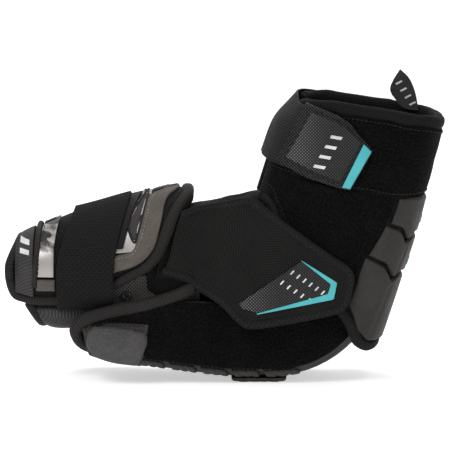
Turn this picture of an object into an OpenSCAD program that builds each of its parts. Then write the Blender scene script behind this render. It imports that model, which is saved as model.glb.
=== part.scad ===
// Ice hockey elbow pad for the right arm: an elbow cap, a forearm guard and a bicep guard,
// with three hook-and-loop straps. The pad stands on the flat face of its wear pad, bent.
// +X runs from the hand towards the back of the upper arm, +Z up, and the wearer's outer side
// faces -Y. The elbow axis runs along Y, over the middle of the cap's round part.

/* [Elbow axis] */
// Distance of the elbow axis from the middle of the pad along X
axis_x = 38; // [36:1:40]
// Height of the elbow axis over the floor
axis_z = 92; // [91:1:93]
// Lean of the upper arm, from vertical towards the back
lean = 18; // [16:1:20]

/* [Elbow cap] */
// Radius of the cap's round back, about the elbow axis
cap_r = 88.8; // [87.8:0.1:88.8]
// Half width of the cap beside the elbow
cap_half_w = 46; // [44:0.5:46]
// Half width of the cap's flared front
cap_front_half_w = 53; // [52:0.5:54]
// Wall of the cap's moulded shell
cap_wall = 5; // [3:0.5:5]
// Front end of the cap
cap_front_x = -106; // [-108:1:-104]
// Radius of the piping on the cap's rim
rim_r = 4; // [3:0.5:4]
// Length of the wear pad under the cap
wear_l = 55; // [40:1:55]
// Width of the wear pad under the cap
wear_w = 58; // [40:1:60]

/* [Forearm guard] */
// Hand end of the cuff
cuff_front_x = -170; // [-172:1:-168]
// Padding of the cuff, from its outer face in
cuff_pad_t = 4.5; // [3:0.5:4.5]
// Radius of the binding on the cuff's edge
cuff_binding_r = 3.4; // [2.5:0.1:3.4]
// Half width of the lower forearm pad
lower_half_w = 37; // [34:0.5:37]
// Wall of the lower forearm pad
lower_wall = 7; // [5:0.5:7]

/* [Bicep guard] */
// Half width of the guard's hollow
guard_half_w = 49.5; // [49:0.1:50]
// Distance from the elbow axis to the inside of the guard's back
guard_back = 91.5; // [91:0.1:92]
// Outer face of the moulded back blocks, from the guard's inside
block_out = 12.5; // [10:0.5:13]
// Radius of the rolled collar
collar_r = 4.6; // [3:0.1:4.6]
// Radius of the other bindings of the guard
guard_binding_r = 3; // [2:0.1:3]

/* [Straps] */
// Thickness of the straps' webbing
web_t = 2; // [1.2:0.1:2]
// Thickness of a hook patch
hook_t = 0.9; // [0.6:0.1:0.9]
// Thickness of a printed label
label_t = 0.8; // [0.4:0.1:0.8]
// Inner face of the anchor strap's tab
anchor_y = -59; // [-60:0.5:-59]
// Height of the line where the forearm strap folds open
strap_hinge_z = 70; // [69:0.5:71]

/* [Hidden] */
$fn = 32;

// Air between two layers that are sewn together
gap = 0.3;
// The same where their facets don't meet
layer_gap = 0.7;
// How square the corners of the cap and the guard's back are: 1 is round, less is squarer
square_corner = 0.55;
// The same for the crown of the cuff and the sleeve
round_crown = 0.75;
near = -1;
far = 1;

// ---- Colours ----
velvet_black = [0.06, 0.06, 0.06];
fabric_black = [0.11, 0.105, 0.105];
binding_black = [0.08, 0.078, 0.078];
foam_grey = [0.24, 0.235, 0.235];
trim_grey = [0.37, 0.345, 0.32];
inlay_silver = [0.55, 0.55, 0.56];
panel_grey = [0.2, 0.2, 0.205];
liner_grey = [0.16, 0.155, 0.155];
hook_black = [0.05, 0.05, 0.05];
accent_teal = [0.34, 0.71, 0.73];

// ---- General shapes ----

// Values from a to b in n steps
function steps(a, b, n) = [for (i = [0:n]) a + (b - a) * i / n];

// A power that keeps the sign of its base
function spow(v, p) = sign(v) * pow(abs(v), p);

function unit(v) = v / norm(v);

// Closed solid between two grids of points with the same rows and columns
module skin(outer, inner) {
    rows = len(outer);
    cols = len(outer[0]);
    n = rows * cols;
    i_mid = floor(rows / 2) - 1;
    j_mid = floor(cols / 2) - 1;
    corner = outer[i_mid][j_mid];
    facing = cross(outer[i_mid][j_mid + 1] - corner, outer[i_mid + 1][j_mid] - corner)
        * (corner - inner[i_mid][j_mid]);
    function o(i, j) = i * cols + j;
    function q(i, j) = n + i * cols + j;
    faces = [
        for (i = [0:rows - 2]) for (j = [0:cols - 2]) each [
            [o(i, j), o(i + 1, j), o(i + 1, j + 1)],
            [o(i, j), o(i + 1, j + 1), o(i, j + 1)],
            [q(i, j), q(i + 1, j + 1), q(i + 1, j)],
            [q(i, j), q(i, j + 1), q(i + 1, j + 1)]],
        for (i = [0:rows - 2]) each [
            [o(i + 1, 0), o(i, 0), q(i, 0)],
            [o(i + 1, 0), q(i, 0), q(i + 1, 0)],
            [o(i, cols - 1), o(i + 1, cols - 1), q(i + 1, cols - 1)],
            [o(i, cols - 1), q(i + 1, cols - 1), q(i, cols - 1)]],
        for (j = [0:cols - 2]) each [
            [o(0, j), o(0, j + 1), q(0, j + 1)],
            [o(0, j), q(0, j + 1), q(0, j)],
            [o(rows - 1, j + 1), o(rows - 1, j), q(rows - 1, j)],
            [o(rows - 1, j + 1), q(rows - 1, j), q(rows - 1, j + 1)]]];
    polyhedron(
        points = [for (grid = [outer, inner]) for (row = grid) each row],
        faces = facing > 0 ? faces : [for (f = faces) [f[2], f[1], f[0]]]);
}

// Panel that lies on a surface, from depth d0 to depth d1. edge(u) gives the row's columns.
module panel(place, us, edge, d0, d1) {
    skin([for (u = us) [for (v = edge(u)) place(u, v, d1)]],
        [for (u = us) [for (v = edge(u)) place(u, v, d0)]]);
}

// Round cord that follows places [u, v] on a surface, at depth d
module piping(place, places, d, r, sides = 8) {
    centres = [for (p = places) place(p[0], p[1], d)];
    ups = [for (p = places) place(p[0], p[1], d + 1) - place(p[0], p[1], d)];
    cord(centres, ups, r, sides);
}

// Round cord along points, each with a direction that isn't along the cord
module cord(centres, ups, r, sides = 8) {
    last = len(centres) - 1;
    rings = [for (i = [0:last])
        let (ahead = unit(centres[min(i + 1, last)] - centres[max(i - 1, 0)]),
            side = unit(cross(ahead, ups[i])),
            up = cross(side, ahead))
        [for (turn = [0:360 / sides:359]) centres[i] + r * (cos(turn) * up + sin(turn) * side)]];
    faces = [
        for (i = [0:last - 1]) for (k = [0:sides - 1]) each [
            [i * sides + k, i * sides + (k + 1) % sides, (i + 1) * sides + (k + 1) % sides],
            [i * sides + k, (i + 1) * sides + (k + 1) % sides, (i + 1) * sides + k]],
        [for (k = [sides - 1:-1:0]) k],
        [for (k = [0:sides - 1]) last * sides + k]];
    polyhedron(points = [for (ring = rings) each ring], faces = faces);
}

// Flat plate in the XZ plane from y0 to y1, from an outline of [x, z] points
module upright_plate(outline, y0, y1)
    translate([0, y1, 0])
        rotate([90, 0, 0])
            linear_extrude(y1 - y0)
                polygon(outline);

// ---- Elbow cap surface ----
// u below 0 is a distance in front of the elbow axis, u above 0 an angle round the back.
// v is the place across: 0 at the bottom, 90 at the top of the corner, 180 on the rim.
// Depth d runs outwards from the cap's outer face.

// Outer floor of the cap, [x, height]
cap_floor = [[-108, 21], [-68, 13], [-20, 6], [4, 3.2], [axis_x, 3.2]];
// Rim of the cap, [x, height]
cap_rim = [[-108, 51], [-81, 55], [-58, 58], [-37, 65], [0, 65], [axis_x, 64]];
// Half width of the cap, [x, half width]
cap_widths = [[-108, cap_front_half_w - 2], [-90, cap_front_half_w], [-60, cap_front_half_w - 2],
    [-10, cap_half_w + 1], [6, cap_half_w]];

function cap_rim_depth(u) = u < 0 ? lookup(axis_x + u, cap_rim) - lookup(axis_x + u, cap_floor) : 60.8;

function cap_point(u, v, d) =
    let (x = axis_x + min(u, 0),
        half = lookup(x, cap_widths) + d,
        rim = cap_rim_depth(u),
        corner = min(34, 0.7 * rim),
        a = min(abs(v), 90),
        q = max(abs(v) - 90, 0) / 90,
        y = sign(v) * half * pow(sin(a), square_corner),
        h = -d + (corner + d) * (1 - pow(cos(a), square_corner)) + q * (rim - corner),
        turn = max(u, 0))
    u < 0 ? [x, y, lookup(x, cap_floor) + h]
        : [axis_x + (cap_r - h) * sin(turn), y, axis_z - (cap_r - h) * cos(turn)];

// Stations along the cap, from its front to its back
cap_front_u = cap_front_x - axis_x;
cap_us = concat(steps(cap_front_u, -34, 5), steps(-20, 0, 1), steps(11, 77, 6));
cap_across = [180, 135, 90, 75, 60, 45, 30, 15];
cap_vs = concat(-1 * cap_across, [0], [for (i = [7:-1:0]) cap_across[i]]);
// The foam and the liner keep to the round back of the cap and stop below its rim
lining_us = [-34, -20, 0, 11, 22, 33, 44, 55, 66];
lining_vs = [for (v = cap_vs) if (abs(v) <= 135) v];

// ---- Cuff surface ----
// u is x, v the angle from the crown, depth d runs outwards from the cuff's outer face.

// Height of the crown over the elbow axis, [x, height]
cuff_crown = [[-172, 24], [-160, 31], [-140, 39], [-115, 49], [-80, 60], [-36, 67], [-20, 66]];
// Half width of the cuff, [x, half width]
cuff_widths = [[-172, 37], [-150, 43], [-110, 46], [-60, 50], [-20, 58]];
// Height of the cuff's lower edge, [x, height]
cuff_lower = [[-172, 78], [-166, 69], [-152, 65], [-128, 65], [-88, 77], [-58, 93], [-48, 105],
    [-42, 124], [-32, 151], [-24, 157]];
// Depth of the tuck below the widest line of the cuff
cuff_tuck = 50;

function cuff_point(x, v, d) =
    let (a = abs(v),
        y = spow(sin(v), round_crown) * (lookup(x, cuff_widths) + d),
        z = a <= 90 ? (lookup(x, cuff_crown) + d) * cos(a) : (cuff_tuck + d) * cos(a))
    [x, y, axis_z + z];

// Angle at which the cuff's lower edge lies, held back by a margin in millimetres
function cuff_edge(x, margin) =
    let (drop = lookup(x, cuff_lower) + margin - axis_z,
        reach = drop > 0 ? lookup(x, cuff_crown) : cuff_tuck)
    acos(max(-1, min(1, drop / reach)));

cuff_us = [cuff_front_x + 4, -152, -136, -120, -104, -88, -72, -60, -52, -45, -39, -34];
// Height that the cuff's layers stop short of its edge, more where the edge is steep
cuff_margin = [[-166, 6], [-140, 5], [-128, 5], [-88, 6.5], [-60, 8.5], [-52, 12], [-45, 18], [-34, 17]];
cuff_across = function (x)
    let (end = cuff_edge(x, lookup(x, cuff_margin)))
    steps(-end, end, 22);

// ---- Lower forearm pad ----
// Outer bottom of the pad, [x, height]
lower_floor = [[-158, 54], [-148, 44], [-134, 40], [-104, 41.5], [-60, 47]];
lower_rim_z = 59;

function lower_point(x, v, d) =
    let (a = min(abs(v), 90),
        floor_z = lookup(x, lower_floor),
        half = lookup(x, [[-158, lower_half_w - 7], [-140, lower_half_w]]) + d,
        h = -d + (lower_rim_z - floor_z + d) * (1 - pow(cos(a), square_corner)))
    [x, sign(v) * half * pow(sin(a), square_corner), floor_z + h];

// ---- Bicep guard surface ----
// In the guard's own directions: s up along the arm, r towards the back.
// v is the place round the guard: 0 at the back, 90 where the back corner ends, 135 where the
// side ends, 225 at the front, and on round the far side past 225. Depth d runs outwards.

function guard_place(s, r, y) =
    [axis_x + s * sin(lean) + r * cos(lean), y, axis_z + s * cos(lean) - r * sin(lean)];

// Length of the guard's back and front corners
guard_back_corner = 52;
guard_front_corner = 5;
guard_front_reach = 36;
// How far the back leans in towards the top
guard_taper = 0.055;

function guard_point(s, v, d) =
    let (side = v > 225 ? far : (v < 0 ? far : near),
        a = v > 225 ? 450 - v : abs(v),
        back = guard_back - guard_back_corner - max(s - 60, 0) * guard_taper,
        turn = max(a - 135, 0),
        r = a <= 90 ? guard_back_corner + (back + d) * pow(cos(a), square_corner)
            : a <= 135 ? guard_back_corner + (guard_front_corner - guard_back_corner) * (a - 90) / 45
            : guard_front_corner - (guard_front_reach + d) * pow(sin(turn), round_crown),
        y = a <= 90 ? (guard_half_w + d) * pow(sin(a), square_corner)
            : a <= 135 ? guard_half_w + d
            : (guard_half_w + d) * pow(cos(turn), round_crown))
    guard_place(s, r, side * y);

// Lower and upper edges of the guard at a place round it
function guard_low(v) =
    lookup(abs(v), [[0, -28], [45, -34], [62, -32], [90, -10], [135, 26], [165, 50], [200, 58]]);
function guard_high(v) = lookup(abs(v), [[0, 149], [60, 146], [90, 142], [135, 133], [200, 126]]);

// A place given as a share of the height between the two edges
guard_span = function (w, v, d) guard_point(guard_low(v) + w * (guard_high(v) - guard_low(v)), v, d);
guard_at = function (s, v, d) guard_point(s, v, d);

guard_across = [188, 172, 158, 145, 135, 112, 90, 75, 60, 45, 30, 15];
guard_vs = concat(-1 * guard_across, [0], [for (i = [11:-1:0]) guard_across[i]]);
guard_ws = steps(0, 1, 5);

// Depths of the guard's layers, from its hollow outwards
guard_liner_t = 1.5;
guard_plate_t = 1.2;
guard_shell_out = 6;
guard_skin_out = 7.5;
guard_strap_in = 8.6;

// ---- Elbow assembly ----

module elbow_cap_shell()
    color(foam_grey)
        panel(function (u, v, d) cap_point(u, v, d), cap_us, function (u) cap_vs, -cap_wall, 0);

module elbow_foam()
    color(liner_grey)
        panel(function (u, v, d) cap_point(u, v, d), lining_us, function (u) lining_vs,
            -11, -cap_wall - gap);

module elbow_liner()
    color(fabric_black)
        panel(function (u, v, d) cap_point(u, v, d), lining_us, function (u) lining_vs,
            -12.6, -11 - gap);

module elbow_wear_pad()
    color(foam_grey)
        translate([axis_x + 12 - wear_l, -wear_w / 2, 0])
            difference() {
                cube([wear_l, wear_w, 2.6]);
                for (x = [0, wear_l])
                    for (y = [0, wear_w])
                        translate([x, y, -1])
                            rotate([0, 0, 45])
                                cube([8, 8, 10], center = true);
            }

// Ribs on the cap's lower corners
rib_count = 6;
module elbow_ribs()
    color(foam_grey)
        for (side = [near, far])
            for (k = [0:rib_count - 1])
                let (u0 = -104 + k * 12.6)
                    panel(function (u, v, d) cap_point(u, v, d), [u0, u0 + 5.2, u0 + 10.4],
                        function (u) side * [38, 52, 66, 78], layer_gap, 3);

module elbow_loop(side)
    color(velvet_black)
        panel(function (u, v, d) cap_point(u, v, d), concat(steps(-98, -8, 6), steps(0, 66, 5)),
            function (u) side * [82, 90, 115, 145, 172], gap, 1.8);

module elbow_loop_near() elbow_loop(near);
module elbow_loop_far() elbow_loop(far);

// Rounded moulded pad on the cap's front corner
module elbow_wing(side)
    color(foam_grey)
        panel(function (u, v, d) cap_point(u, v, d), steps(cap_front_u + 2, -105, 4),
            function (u) side * steps(58, 140 + 12 * sin(180 * (u - cap_front_u) / 40), 6), gap, 6.5);

module elbow_wing_near() elbow_wing(near);
module elbow_wing_far() elbow_wing(far);

// Piping runs down the near rim, round the open front and back along the far rim
rim_out = rim_r + 1;
module elbow_rim_piping() {
    places = concat(
        [for (u = steps(-62, cap_front_u + 6, 5)) [u, 180, 0]],
        [for (v = [180, 150, 120, 90, 75, 60, 45, 30, 15, 0]) [cap_front_u, v, 1]]);
    half = [for (p = places)
        let (b = cap_point(p[0], -p[1], -cap_wall / 2))
        [b[0] - p[2] * (rim_out + 7 * pow(sin(min(p[1], 90)), 3) * (p[1] > 160 ? 0.4 : 1)),
            b[1], b[2] + (p[2] == 0 ? rim_out : p[1] == 180 ? 1 : 0)]];
    centres = concat(half, [for (i = [len(half) - 2:-1:0]) [half[i][0], -half[i][1], half[i][2]]]);
    color(binding_black)
        cord(centres, [for (c = centres) [0.2, 0, 1] + [0.6, 0, 0] * (c[0] < cap_front_x ? 1 : 0)], rim_r);
}

// Stretch fabric over the crook of the arm
sleeve_crown = [[-62, 38], [-35, 45], [-10, 46.5], [2, 46.5], [20, 56]];
sleeve_widths = [[-62, 36], [-35, 41], [-10, 46], [20, 48]];
function sleeve_point(x, v, d) =
    [x, spow(sin(v), round_crown) * (lookup(x, sleeve_widths) + d),
        axis_z + (abs(v) <= 90 ? (lookup(x, sleeve_crown) + d) : (46 + d)) * cos(v)];

module crook_sleeve()
    color(fabric_black)
        panel(function (u, v, d) sleeve_point(u, v, d), steps(-62, 20, 7),
            function (u) steps(-106, 106, 16), -2, 0);

// ---- Anchor strap ----
// The tab hangs from its hinge line over the crook and points down towards the back.

// Outline of the tab, [x, z], clockwise from its top front corner
tab_outline = [[-22, 139], [-4, 145], [11, 145], [44, 130], [64, 116], [84, 102], [101, 89],
    [99, 76], [94, 63], [62, 51], [22, 44], [10, 49], [-6, 63], [-22, 74]];
tab_binding_w = 6.4;

module tab_shape(inset) offset(delta = -inset) polygon(tab_outline);

module tab_layer(inset, y0, y1)
    translate([0, y1, 0])
        rotate([90, 0, 0])
            linear_extrude(y1 - y0)
                tab_shape(inset);

module anchor_tab() color(fabric_black) tab_layer(tab_binding_w, anchor_y - web_t, anchor_y);

module anchor_binding()
    color(binding_black)
        translate([0, anchor_y + 0.2, 0])
            rotate([90, 0, 0])
                linear_extrude(web_t + 0.8)
                    difference() {
                        tab_shape(0);
                        tab_shape(tab_binding_w - gap);
                    }

label_outline = [[60, 100], [63, 97], [86, 82], [84, 70], [27, 57], [14, 63]];
module anchor_label()
    color(panel_grey)
        upright_plate(label_outline, anchor_y - web_t - 0.2 - label_t, anchor_y - web_t - 0.2);

// Thin at both ends and thick at the corner by the tab's point
module anchor_chevron()
    color(accent_teal)
        upright_plate([[60, 97], [86, 81.4], [83.5, 70], [27, 57.4], [79, 72.4], [81, 79.5]],
            anchor_y - web_t - 0.4 - 2 * label_t, anchor_y - web_t - 0.4 - label_t);

module anchor_hook_patch()
    color(hook_black)
        upright_plate([[34, 92], [60, 96], [84, 82], [80, 72], [40, 62]],
            anchor_y + gap, anchor_y + gap + hook_t);

// ---- Forearm guard ----
on_cuff = function (u, v, d) cuff_point(u, v, d);

module cuff_pad() color(fabric_black) panel(on_cuff, cuff_us, cuff_across, -cuff_pad_t, 0);

module cuff_plate()
    color(foam_grey)
        panel(on_cuff, [for (x = cuff_us) if (x >= -152 && x <= -60) x], function (x) steps(-78, 78, 16),
            -6.5, -cuff_pad_t - layer_gap);

module cuff_liner()
    color(liner_grey)
        panel(on_cuff, cuff_us, cuff_across, -8, -6.5 - layer_gap);

// Binding round the whole edge of the cuff, as one open loop that meets itself at the crown
module cuff_binding() {
    rear_x = -29.5;
    front_x = cuff_front_x;
    us = [-163, -152, -136, -120, -104, -88, -72, -60, -51, -44, -38, -32];
    edge = function (x) cuff_edge(x, 0);
    places = concat(
        [for (v = steps(4, edge(-168) - 6, 6)) [front_x, v]],
        [for (x = us) [x, edge(x)]],
        [for (v = steps(edge(rear_x) - 4, 4 - edge(rear_x), 4)) [rear_x, v]],
        [for (i = [len(us) - 1:-1:0]) [us[i], -edge(us[i])]],
        [for (v = steps(6 - edge(-168), -4, 6)) [front_x, v]]);
    color(binding_black) piping(on_cuff, places, -2.5, cuff_binding_r);
}

// Outer faces of what is sewn on the cuff
cuff_trim_in = gap;
cuff_trim_out = 1.8;

module on_both_sides(us, edge, d0, d1)
    for (side = [near, far])
        panel(on_cuff, us, function (x) side * edge(x), d0, d1);

module cuff_end_panel()
    color(panel_grey)
        panel(on_cuff, [-163, -156, -151], function (x) steps(-104, 104, 14), cuff_trim_in, cuff_trim_out);

module cuff_cord()
    color(binding_black)
        panel(on_cuff, [-150.4, -147.4], function (x) steps(-104, 104, 14), cuff_trim_in, 3.2);

module cuff_inlay_front()
    color(inlay_silver)
        on_both_sides([-146.6, -141, -136.5], function (x) steps(30, 98, 6), cuff_trim_in, cuff_trim_out);

module cuff_inlay_rear()
    color(inlay_silver)
        on_both_sides([-86, -80, -74, -68], function (x) steps(20, 82, 6), cuff_trim_in, cuff_trim_out);

module cuff_trim()
    color(trim_grey)
        on_both_sides([-66.5, -63, -59, -55], function (x) steps(14, 77, 6), cuff_trim_in, cuff_trim_out);

// Raised frame of the small pocket on the rear inlay
module cuff_pocket_frame()
    color(binding_black)
        for (side = [near, far])
            panel(on_cuff, [-77.5, -76, -74.5], function (x) side * steps(36, 74, 4),
                cuff_trim_out + gap, cuff_trim_out + gap + 1);

module forearm_lower_pad()
    color(panel_grey)
        panel(function (u, v, d) lower_point(u, v, d), steps(-154, -62, 7),
            function (x) concat([-84], steps(-75, 75, 10), [84]), -lower_wall, 0);

module lower_pad_binding()
    color(binding_black)
        piping(function (u, v, d) lower_point(u, v, d),
            [for (v = concat([-82], steps(-75, 75, 10), [82])) [-158.6 + 3 * pow(abs(v) / 90, 4), v]],
            -3, 3.4);

// Mesh walls that close the sides between the lower pad and the cuff
mesh_y = 27.4;
module forearm_mesh()
    color(liner_grey)
        for (y = [-mesh_y - 1, mesh_y])
            upright_plate([[-120, 55], [-64, 56], [-42, 64], [-42, 90], [-64, 88], [-120, 80]], y, y + 1);

// Round keeper of the strap, on the near mesh wall
module strap_ring()
    color(hook_black)
        translate([-77, -mesh_y - 1.6, 71])
            rotate([90, 0, 0])
                difference() {
                    cylinder(h = 2.4, r = 3.4);
                    translate([0, 0, -1])
                        cylinder(h = 5, r = 1.7);
                }

// Outline of a strap that runs round a path of [y, z] points in one direction
function left_of(path, i, t) =
    let (last = len(path) - 1,
        along = path[min(i + 1, last)] - path[max(i - 1, 0)])
    path[i] + t * [-along[1], along[0]] / norm(along);

function web_outline(path, t) = concat(path,
    [for (i = [len(path) - 1:-1:0]) left_of(path, i, t)]);

// Fixed run of the strap: down the near side, under the lower pad and up the far side
strap_front_x = -134;
strap_w = 46;
under_half = [[18, 38.4], [31, 40], [38, 46], [40.4, 55], [41.6, 61], [42.6, strap_hinge_z - 2]];
under_path = concat([for (i = [5:-1:0]) [-under_half[i][0], under_half[i][1]]], under_half);
module strap_base()
    color(fabric_black)
        translate([strap_front_x, 0, 0])
            rotate([90, 0, 90])
                linear_extrude(strap_w)
                    polygon(web_outline(under_path, -1.6));

// ---- Forearm strap ----
strap_us = steps(strap_front_x + 2, strap_front_x + strap_w, 4);
function strap_lean(v) = 14 * pow(max(cos(v), 0), 1.5);
strap_place = function (u, v, d) cuff_point(u + strap_lean(v), v, d);
strap_low_v = 114;

module forearm_strap()
    color(fabric_black)
        panel(strap_place, strap_us, function (x) steps(-strap_low_v, -6, 12), 3.6, 3.6 + web_t);

module forearm_strap_hook()
    color(hook_black)
        panel(strap_place, strap_us, function (x) steps(-34, -4, 4), 3.6 - gap - hook_t, 3.6 - gap);

// ---- Bicep guard ----

module guard_shell()
    color(fabric_black)
        panel(guard_span, guard_ws, function (w) guard_vs,
            guard_liner_t + guard_plate_t + 2 * gap, guard_shell_out);

module guard_plate()
    color(foam_grey)
        panel(guard_span, steps(0.2, 0.8, 3), function (w) [for (v = guard_vs) if (abs(v) <= 135) v],
            guard_liner_t + gap, guard_liner_t + gap + guard_plate_t);

module guard_liner()
    color(liner_grey)
        panel(guard_span, guard_ws, function (w) guard_vs, 0, guard_liner_t);

// Height of the line between the top band and the panels under it
band_low = 78;
module guard_loop(side)
    color(velvet_black) {
        vs = [66, 75, 90, 112, 135, 145, 158, 172, 184];
        skin([for (w = steps(0, 1, 4)) [for (v = vs)
                let (low = guard_low(v) + 4)
                guard_point(low + w * (band_low - 1 - low), -side * v, guard_skin_out)]],
            [for (w = steps(0, 1, 4)) [for (v = vs)
                let (low = guard_low(v) + 4)
                guard_point(low + w * (band_low - 1 - low), -side * v, guard_shell_out + gap)]]);
    }

module guard_loop_near() guard_loop(near);
module guard_loop_far() guard_loop(far);

module guard_top_band()
    color(velvet_black) {
        grid = function (d) [for (w = steps(0, 1, 3)) [for (v = guard_vs)
            guard_point(band_low + w * (guard_high(v) - 4 - band_low), v, d)]];
        skin(grid(guard_skin_out), grid(guard_shell_out + gap));
    }

block_vs = [-60, -50, -38, -24, -10, 0, 10, 24, 38, 50, 60];
module guard_block(s0, s1)
    color(foam_grey)
        skin([for (s = steps(s0 + 2, s1 - 2, 3)) [for (v = block_vs) guard_point(s, v, block_out)]],
            [for (s = steps(s0, s1, 3)) [for (v = block_vs) guard_point(s, v, guard_shell_out + gap)]]);

module guard_block_lower() guard_block(-27, 22);
module guard_block_middle() guard_block(25, 50);
module guard_block_upper() guard_block(53, band_low - 1);

// Coloured strips in the grooves between the blocks
module guard_accents()
    color(accent_teal)
        for (s = [22.6, 50.6])
            panel(guard_at, [s, s + 1.8], function (u) [-10, 0, 10], guard_shell_out + gap, block_out - 2);

binding_d = guard_shell_out / 2;
// Drop of the lower binding's middle below the shell's edge, more where the edge is steep
lower_binding_drop = [[0, 4.4], [62, 5.2], [90, 6.4], [135, 8], [165, 10], [200, 10]];
module guard_lower_binding()
    color(binding_black)
        piping(guard_at, [for (v = 0.96 * guard_vs) [guard_low(v) - lookup(abs(v), lower_binding_drop), v]],
            binding_d, guard_binding_r);

module guard_collar()
    color(velvet_black)
        piping(guard_at, [for (v = guard_vs) [guard_high(v) + collar_r + 0.6, v]], binding_d, collar_r);

module guard_front_binding(side)
    color(binding_black)
        piping(guard_at, [for (s = steps(guard_low(196) - 2, guard_high(196) - 2, 6)) [s, side * 196]],
            binding_d, guard_binding_r);

module guard_front_binding_near() guard_front_binding(1);
module guard_front_binding_far() guard_front_binding(-1);

// Fixed run of the bicep strap: round the front and on to the far side
web_low = 84;
web_high = 122;
module bicep_strap_web()
    color(fabric_black)
        panel(guard_at, steps(web_low, web_high, 3), function (s) steps(209, 300, 10),
            guard_strap_in, guard_strap_in + web_t);

// ---- Bicep strap ----
// The tab ends in a slanted edge; end_v is its end at a height s
function tab_end(s) = 96 + 10 * (s - web_low) / (web_high - web_low);

module bicep_tab()
    color(fabric_black)
        panel(guard_at, steps(web_low - 6, web_high + 2, 4), function (s) steps(tab_end(s), 205, 11),
            guard_strap_in, guard_strap_in + web_t);

tab_face = guard_strap_in + web_t;
module bicep_label()
    color(panel_grey)
        panel(guard_at, steps(web_low - 2, web_high - 2, 4), function (s) steps(tab_end(s) + 8, 158, 6),
            tab_face + 0.2, tab_face + 0.2 + label_t);

module bicep_tab_border()
    color(binding_black)
        panel(guard_at, steps(web_low - 4, web_high, 4), function (s) [160, 162, 164],
            tab_face + 0.2, tab_face + 0.2 + label_t);

module bicep_stripe()
    color(accent_teal)
        panel(guard_at, steps(web_low - 4, web_high, 4),
            function (s) steps(tab_end(s) + 1, tab_end(s) + 7, 2),
            tab_face + 0.2, tab_face + 0.2 + label_t);

module bicep_hook_patch()
    color(hook_black)
        panel(guard_at, steps(web_low, web_high - 4, 3), function (s) steps(tab_end(s) + 4, 140, 4),
            guard_strap_in - gap / 2 - hook_t / 1.5, guard_strap_in - gap / 2);

// ---- Side tag ----
// Folded ribbon at the far back corner of the collar, [x, z]
tag_outline = [[136, 242], [140, 239], [144, 232], [150, 219], [153, 211], [140, 211], [131, 218],
    [128, 223], [130, 230], [133, 237]];
tag_y = 43;
module side_tag() color(panel_grey) upright_plate(tag_outline, tag_y, tag_y + 1.4);

elbow_cap_shell();
elbow_foam();
elbow_liner();
elbow_wear_pad();
elbow_ribs();
elbow_loop_near();
elbow_loop_far();
elbow_wing_near();
elbow_wing_far();
elbow_rim_piping();
crook_sleeve();
anchor_tab();
anchor_binding();
anchor_label();
anchor_chevron();
anchor_hook_patch();
cuff_pad();
cuff_plate();
cuff_liner();
cuff_binding();
cuff_end_panel();
cuff_cord();
cuff_inlay_front();
cuff_inlay_rear();
cuff_trim();
cuff_pocket_frame();
forearm_lower_pad();
lower_pad_binding();
forearm_mesh();
strap_ring();
strap_base();
forearm_strap();
forearm_strap_hook();
guard_shell();
guard_plate();
guard_liner();
guard_loop_near();
guard_loop_far();
guard_top_band();
guard_block_lower();
guard_block_middle();
guard_block_upper();
guard_accents();
guard_lower_binding();
guard_collar();
guard_front_binding_near();
guard_front_binding_far();
bicep_strap_web();
bicep_tab();
bicep_tab_border();
bicep_label();
bicep_stripe();
bicep_hook_patch();
side_tag();
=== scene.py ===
"""Looks of an ice hockey elbow pad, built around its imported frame.

Sizes are in millimetres, and each mesh turns them into metres. +X runs from the hand to the
back of the upper arm, +Z is up, and the wearer's outer side, the near side, faces -Y.
"""

import logging
import math
from dataclasses import dataclass, field, replace
from enum import Enum
from typing import Callable, Sequence

import bpy
import numpy as np
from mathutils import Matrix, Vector


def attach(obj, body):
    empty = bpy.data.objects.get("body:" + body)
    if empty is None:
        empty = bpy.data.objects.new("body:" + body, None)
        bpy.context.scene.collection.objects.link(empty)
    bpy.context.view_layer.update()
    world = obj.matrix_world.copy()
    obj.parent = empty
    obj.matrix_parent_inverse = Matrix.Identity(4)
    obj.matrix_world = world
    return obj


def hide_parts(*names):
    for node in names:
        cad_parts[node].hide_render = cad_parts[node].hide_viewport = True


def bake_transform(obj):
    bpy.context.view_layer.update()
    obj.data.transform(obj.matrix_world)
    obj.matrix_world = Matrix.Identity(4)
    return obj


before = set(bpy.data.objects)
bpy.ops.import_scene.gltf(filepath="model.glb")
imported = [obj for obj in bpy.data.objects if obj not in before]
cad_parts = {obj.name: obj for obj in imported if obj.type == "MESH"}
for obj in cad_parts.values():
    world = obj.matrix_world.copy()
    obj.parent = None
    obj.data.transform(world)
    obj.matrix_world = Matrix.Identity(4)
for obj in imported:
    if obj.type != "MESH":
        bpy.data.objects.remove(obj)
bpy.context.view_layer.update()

log = logging.getLogger("elbow_pad")
MM = 0.001
# The elbow's axis runs along Y through this x and z
AXIS_X = 38.0
AXIS_Z = 92.0
Pairs = Sequence[tuple[float, float]]


class Side(Enum):
    """The two sides of the pad."""

    NEAR = 1
    FAR = -1


# ---- Shapes ----


class Profile:
    """A smooth curve of values along one direction."""

    def __init__(self, pairs: Pairs, soften: float = 5.0) -> None:
        """Samples straight runs between the pairs and softens their corners."""
        xs, ys = np.array(pairs, float).T
        pad = 3 * soften
        self.xs = np.arange(xs[0] - 2 * pad, xs[-1] + 2 * pad, 0.5)
        spread = np.exp(-0.5 * (np.arange(-pad, pad + 0.1, 0.5) / soften) ** 2)
        raw = np.interp(self.xs, xs, ys)
        edge = len(spread) // 2
        padded = np.pad(raw, edge, mode="edge")
        self.ys = np.convolve(padded, spread / spread.sum(), mode="valid")[: len(self.xs)]

    def __call__(self, x: np.ndarray | float) -> np.ndarray:
        """The value at x."""
        return np.interp(x, self.xs, self.ys)


def spow(value: np.ndarray, power: float) -> np.ndarray:
    """A power that keeps the sign of its base."""
    return np.sign(value) * np.abs(value) ** power


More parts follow.
